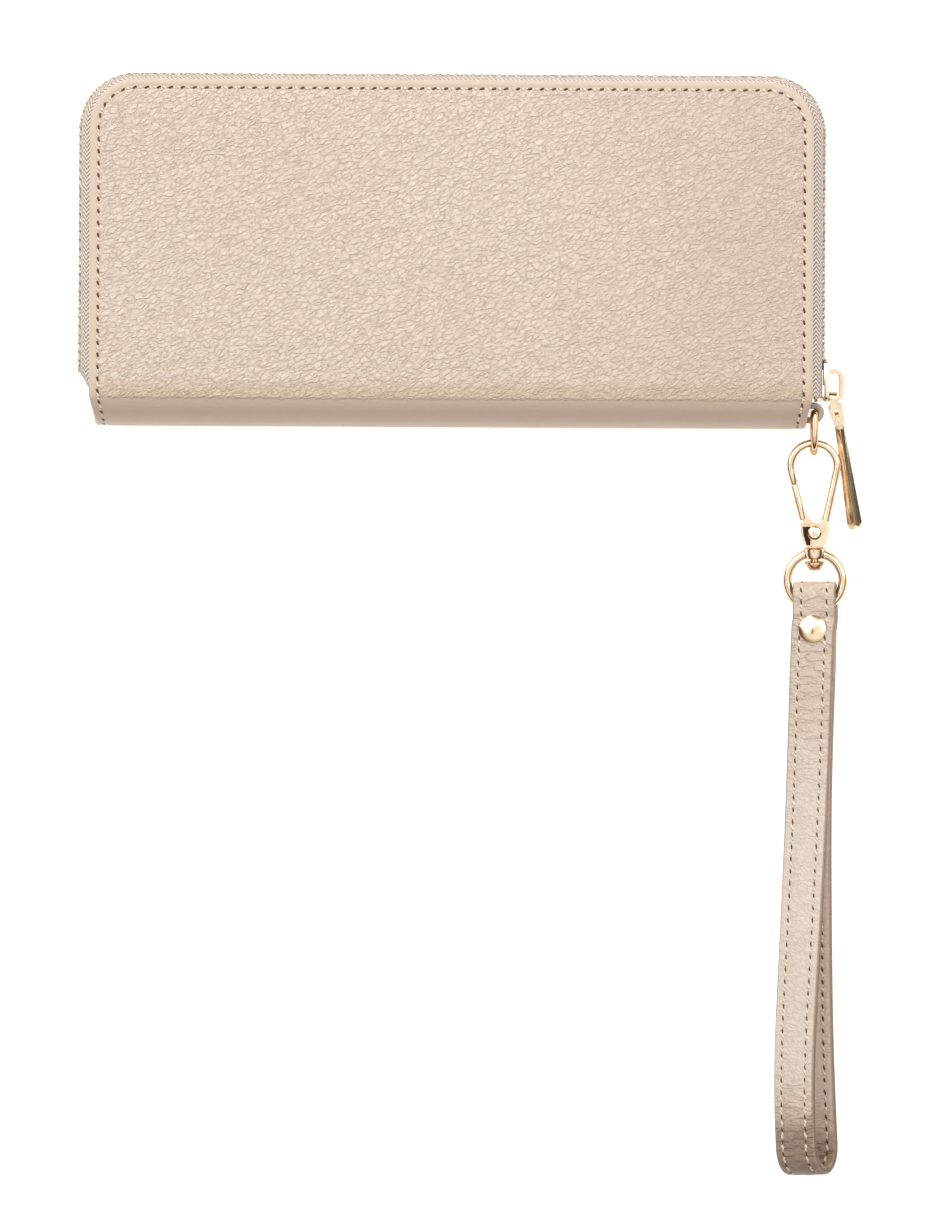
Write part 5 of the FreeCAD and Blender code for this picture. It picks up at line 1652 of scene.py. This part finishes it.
class WALLET_OT_wrist_strap(bpy.types.Operator):
    """Wrist strap: turn, loop, middle layer, stitching and rivet"""

    bl_idname = "wallet.wrist_strap"
    bl_label = "Wrist strap"

    def execute(self, context):
        settings = wallet_settings(context, "wallet_strap")
        hide = strap_cowhide("Smooth cowhide, painted edges", settings)
        stations = strap_stations()
        finish(self.turn(hide), None, "cover_leather", "strap_turn")
        loop = self.loop_stations(stations)
        middle = STRAP_START + sum((b[0] - a[0]).length for a, b in zip(loop, loop[1:])) / 2

        def crease_and_shade_at(d):
            # The first part darkens the strap near the ring; the second marks the bottom bend for painted shade.
            return (smoothstep(70.0, 18.0, d) * 0.8 + 0.25
                    + 1.8 * smoothstep(30.0, 6.0, abs(d - middle + 3.0)))

        piece = strap_skin("strap_leather", loop, STRAP_START, crease_and_shade_at, hide)
        finish(piece, "strap", "cover_leather", "wrist_strap")
        tail = [(here, width, normal) for here, width, normal, _, _ in stations[4:17]]
        layer = self.middle_layer(tail, hide)
        finish(layer, "strap", "cover_leather", "strap_tail")
        self.stitching(settings, loop)
        self.rivet(stations, wallet_settings(context, "wallet_metal"))
        return {"FINISHED"}

    @staticmethod
    def loop_stations(stations):
        """Stations of the loop: front strand, bottom bend and rear strand."""
        front = [(here + normal * half, width, normal) for here, width, normal, _, half in stations]
        back = [(here - normal * half, width, normal * -1) for here, width, normal, _, half in stations]
        here, width, normal, run, half = stations[-1]
        bend = []
        for k in range(1, 16):
            a = math.pi * k / 16
            out = normal * math.cos(a) + run * math.sin(a)
            bend.append((here + out * half, width, out))
        return front + bend + back[::-1]

    @staticmethod
    def turn(material):
        """Where the strap turns round the ring."""
        place = hook_matrix(RING_TWIST)
        across = place.to_3x3() @ Vector((1, 0, 0))
        stations = [(Vector((0, -TURN_END_S, TURN_HALF)), Vector((0, 0, 1)))]
        for k in range(17):
            a = math.pi * k / 16
            out = Vector((0, math.sin(a), math.cos(a)))
            stations.append((Vector((0, -TURN_CENTRE_S, 0)) + out * TURN_HALF, out))
        stations.append((Vector((0, -TURN_END_S, -TURN_HALF)), Vector((0, 0, -1))))
        made = [(place @ p, across, (place.to_3x3() @ out).normalized()) for p, out in stations]
        piece = strap_skin("strap_turn_leather", made, 0.0, lambda d: 0.8, material)
        start = place @ Vector((0, -TURN_CENTRE_S, 0)) * MM
        end = place @ Vector((0, -TURN_END_S, 0)) * MM
        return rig.blend(piece, "swivel_ring", "strap", start=tuple(start), end=tuple(end))

    @staticmethod
    def middle_layer(stations, material):
        """The layer riveted between the two strands."""
        w, t = STRAP_W / 2, 1.2
        corners = [(-w, t), (w, t), (w, -t), (-w, -t)]
        sections, flats = [], []
        along = 0.0
        for i, (here, width, out) in enumerate(stations):
            if i:
                along += (here - stations[i - 1][0]).length
            flats += [(x, along) for x, _ in corners]
            sections.append([here + width * x + out * y for x, y in corners])
        points, faces = skinned(sections)
        marks = {"edge": [1.0] * len(points), "crease": [0.0] * len(points)}
        made = build("strap_middle_layer", points, faces, material, flats, marks)
        return softened(made, 0.25, 2)

    def stitching(self, settings, loop):
        """Two lines of stitching right round the strap, outside and inside the loop."""
        thread = waxed_thread("Waxed polyester thread", linear("#F6E9D9"))
        # The awl holes are dark marks: painted shade in the holes.
        hole = needle_hole_shade("Awl holes in cowhide")
        stitch = capsule("stitch_unit", settings.stitch * 0.62, 0.38, 0.75, thread)
        slit = capsule("hole_unit", 1.35, 0.32, 0.3, hole)
        paths = []
        inset = STRAP_W / 2 - settings.inset
        inner = [station for station in loop if station[0].y < INNER_STITCH_Y]
        for side in (-inset, inset):
            paths.append([(p + out * (STRAP_T / 2 - 0.1) + width * side, out) for p, width, out in loop])
            paths.append(
                [(p - out * (STRAP_T / 2 - 0.05) + width * side, out * -1) for p, width, out in inner]
            )
        made = run_of("strap_stitches", paths, stitch, thread, settings.stitch, 0.5, 3, 4)
        finish(made, "strap", "cover_leather")
        made = run_of("strap_stitch_holes", paths, slit, hole, settings.stitch, 0.0, 24, 8, 5)
        finish(made, "strap", "cover_leather")
        place = hook_matrix(RING_TWIST)
        ends = []
        for side in (-1, 1):
            path = []
            for k in range(11):
                a = math.pi * (k / 10 - 0.25)
                out = Vector((0, math.sin(a), math.cos(a))) if a > 0 else Vector((0, 0, 1))
                reach = 0 if a > 0 else TURN_CENTRE_S - TURN_END_S
                p = Vector((side * inset, -TURN_CENTRE_S, 0)) + out * (TURN_HALF + STRAP_T / 2 - 0.1)
                p.y += reach * min(-a / (math.pi * 0.25), 1.0) if a < 0 else 0.0
                path.append((place @ p, place.to_3x3() @ out))
            ends.append(path)
        start, end = (tuple(place @ Vector((0, -s, 0)) * MM) for s in (TURN_CENTRE_S, TURN_END_S))
        for name, unit, material, shift, slant in (
            ("turn_stitches", stitch, thread, 0.5, 3), ("turn_stitch_holes", slit, hole, 0.0, 24)
        ):
            made = run_of(name, ends, unit, material, settings.stitch, shift, slant, 4)
            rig.blend(made, "swivel_ring", "strap", start=start, end=end)
            finish(made, None, "cover_leather")
        for unit in (stitch, slit):
            bpy.data.objects.remove(unit)

    @staticmethod
    def rivet(stations, settings):
        """Domed rivet with a rolled rim, and its post and foot."""
        gilt = gilt_plating("Pale gold plating, polished", settings)
        here, _, normal, _, half = stations[8]
        reach = half + STRAP_T / 2
        cap = [
            (0.0, -0.2), (3.3, -0.2), (3.6, 0.0), (3.7, 0.22), (3.62, 0.42), (3.3, 0.6), (2.8, 0.84),
            (2.1, 1.08), (1.3, 1.25), (0.6, 1.35), (0.0, 1.38),
        ]
        points, faces = turned(cap, here + normal * reach, normal, 48)
        finish(build("rivet_dome", points, faces, gilt), "strap", "gilt_metal", "strap_rivet_cap")
        post = [
            (0.0, -0.3), (3.5, -0.3), (3.7, -0.2), (3.7, -0.06), (3.5, 0.0), (1.2, 0.0), (1.2, reach * 2),
            (0.0, reach * 2),
        ]
        points, faces = turned(post, here - normal * reach, normal, 40)
        finish(build("rivet_shank", points, faces, gilt), "strap", "gilt_metal", "strap_rivet_post")


class WALLET_OT_stage(bpy.types.Operator):
    """Floor, lamps and camera"""

    bl_idname = "wallet.stage"
    bl_label = "Stage"

    def execute(self, context):
        settings = wallet_settings(context, "wallet_stage")
        size = 4000.0
        corners = [(-size, -size, -0.03), (size, -size, -0.03), (size, size, -0.03), (-size, size, -0.03)]
        made, tree, shader = new_material("Matt white paper", {"Roughness": 0.9, "Specular IOR Level": 0.1})
        fibre = add(tree, "ShaderNodeTexNoise", None, {"Vector": object_mm(tree), "Scale": 0.4}).outputs[0]
        painted(tree, shader, mixed(tree, fibre, linear("#F4F3F1"), linear("#FBFAF8")))
        rays = add(tree, "ShaderNodeLightPath").outputs
        seen = calc(tree, "MAXIMUM", rays["Is Camera Ray"],
                    calc(tree, "MAXIMUM", rays["Is Glossy Ray"], rays["Is Transmission Ray"]))
        glow = add(tree, "ShaderNodeEmission", None, {"Strength": calc(tree, "MULTIPLY", seen, 0.62)})
        both = add(tree, "ShaderNodeAddShader", None, {0: shader.outputs[0], 1: glow.outputs[0]})
        out = next(n for n in tree.nodes if n.type == "OUTPUT_MATERIAL")
        tree.links.new(both.outputs[0], out.inputs["Surface"])
        floor = build("paper_floor", corners, [(0, 1, 2, 3)], made, merge=False)
        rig.stage(floor)
        self.room(context, settings)
        self.lamp("Key softbox", (-620, 520, 950), 1.6, settings.key)
        self.lamp("Rim softbox", (700, 250, 700), 0.8, settings.key * 0.3)
        self.camera(context, settings)
        return {"FINISHED"}

    @staticmethod
    def room(context, settings):
        """Even room light, white to the eye, darker near the horizon in reflections."""
        world = bpy.data.worlds.new("Studio room")
        world.use_nodes = True
        tree = world.node_tree
        tree.nodes.clear()
        place = add(tree, "ShaderNodeTexCoord").outputs["Generated"]
        height = add(tree, "ShaderNodeSeparateXYZ", None, {"Vector": place}).outputs["Z"]
        rays = add(tree, "ShaderNodeLightPath").outputs
        split = add(tree, "ShaderNodeSeparateXYZ", None, {"Vector": place})
        sky = ramped(tree, height, 0.35, 0.85, 0.14, 1.08)
        card = calc(tree, "MULTIPLY_ADD", split.outputs["X"], 9.0, 2.2)
        card = calc(tree, "SQRT", calc(tree, "MULTIPLY_ADD", card, card, calc(
            tree, "POWER", calc(tree, "MULTIPLY", split.outputs["Y"], 3.4), 2.0)))
        sky = calc(tree, "MULTIPLY", sky, ramped(tree, card, 0.8, 1.3, 0.12, 1.0))
        level = calc(tree, "SUBTRACT", sky, settings.fill)
        level = calc(tree, "MULTIPLY_ADD", rays["Is Glossy Ray"], level, settings.fill)
        level = calc(tree, "MAXIMUM", level, rays["Is Camera Ray"])
        low = mixed(tree, ramped(tree, split.outputs["X"], -0.5, 0.5), linear("#F0B27C"), linear("#D6D0C0"))
        hue = mixed(tree, ramped(tree, height, 0.3, 0.75), low, (1.0, 0.985, 0.97, 1.0))
        hue = mixed(tree, rays["Is Glossy Ray"], (1.0, 0.985, 0.97, 1.0), hue)
        light = add(tree, "ShaderNodeBackground", None, {"Color": hue, "Strength": level})
        add(tree, "ShaderNodeOutputWorld", None, {"Surface": light.outputs[0]})
        context.scene.world = world

    @staticmethod
    def lamp(name, place, size, power):
        """Square softbox that faces the wallet."""
        data = bpy.data.lights.new(name, "AREA")
        data.size = size
        data.energy = power
        data.color = (1.0, 0.975, 0.95)
        lamp = bpy.data.objects.new(name, data)
        lamp.location = Vector(place) * MM
        lamp.rotation_euler = (Vector((0, -60, 0)) * MM - lamp.location).to_track_quat("-Z", "Y").to_euler()
        bpy.context.scene.collection.objects.link(lamp)

    @staticmethod
    def camera(context, settings):
        """Straight down on the wallet, from far enough to look flat."""
        data = bpy.data.cameras.new("Overhead camera")
        wide = VIEW_WIDTH * MM
        data.sensor_width = 36.0
        data.lens = data.sensor_width * settings.distance / wide
        data.clip_end = 100.0
        camera = bpy.data.objects.new("Overhead camera", data)
        camera.location = (VIEW_CENTRE[0] * MM, VIEW_CENTRE[1] * MM, settings.distance + 0.015)
        camera.rotation_euler = (0, 0, math.radians(0.3))
        context.scene.collection.objects.link(camera)
        context.scene.camera = camera
        context.scene.view_settings.view_transform = "Standard"


OPERATORS = [
    WALLET_OT_covers, WALLET_OT_cover_stitching, WALLET_OT_zip, WALLET_OT_zip_slider, WALLET_OT_inside,
    WALLET_OT_coin_pouch, WALLET_OT_corner_ring, WALLET_OT_snap_hook, WALLET_OT_wrist_strap, WALLET_OT_stage,
]


class WALLET_PT_panel(bpy.types.Panel):
    """Buttons for the wallet's pieces"""

    bl_idname = "WALLET_PT_panel"
    bl_label = "Zip around wallet"
    bl_space_type = "VIEW_3D"
    bl_region_type = "UI"
    bl_category = "Wallet"

    def draw(self, context):
        for key, group in SETTINGS.items():
            box = self.layout.box()
            for name in group.__annotations__:
                box.prop(getattr(context.scene, key), name)
        for operator in OPERATORS:
            self.layout.operator(operator.bl_idname)


def register():
    """Makes the settings, the operators and the panel known."""
    for key, group in SETTINGS.items():
        bpy.utils.register_class(group)
        setattr(bpy.types.Scene, key, bpy.props.PointerProperty(type=group))
    for made in OPERATORS + [WALLET_PT_panel]:
        bpy.utils.register_class(made)


def unregister():
    """Takes them away again."""
    for made in [WALLET_PT_panel] + OPERATORS[::-1]:
        bpy.utils.unregister_class(made)
    for key, group in SETTINGS.items():
        delattr(bpy.types.Scene, key)
        bpy.utils.unregister_class(group)


def main():
    """Builds every piece and writes the sizes of the solids and of the dressed model."""
    register()
    bpy.ops.wallet.covers()
    bpy.ops.wallet.cover_stitching()
    bpy.ops.wallet.zip()
    bpy.ops.wallet.zip_slider()
    bpy.ops.wallet.inside()
    bpy.ops.wallet.coin_pouch()
    bpy.ops.wallet.corner_ring()
    bpy.ops.wallet.snap_hook()
    bpy.ops.wallet.wrist_strap()
    bpy.ops.wallet.stage()
    boxes = {"cad": [list(p) for p in CAD_BOX], "visual": [list(p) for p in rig.bounds()]}
    with open("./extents.json", "w") as out:
        json.dump(boxes, out)


if __name__ == "__main__":
    main()
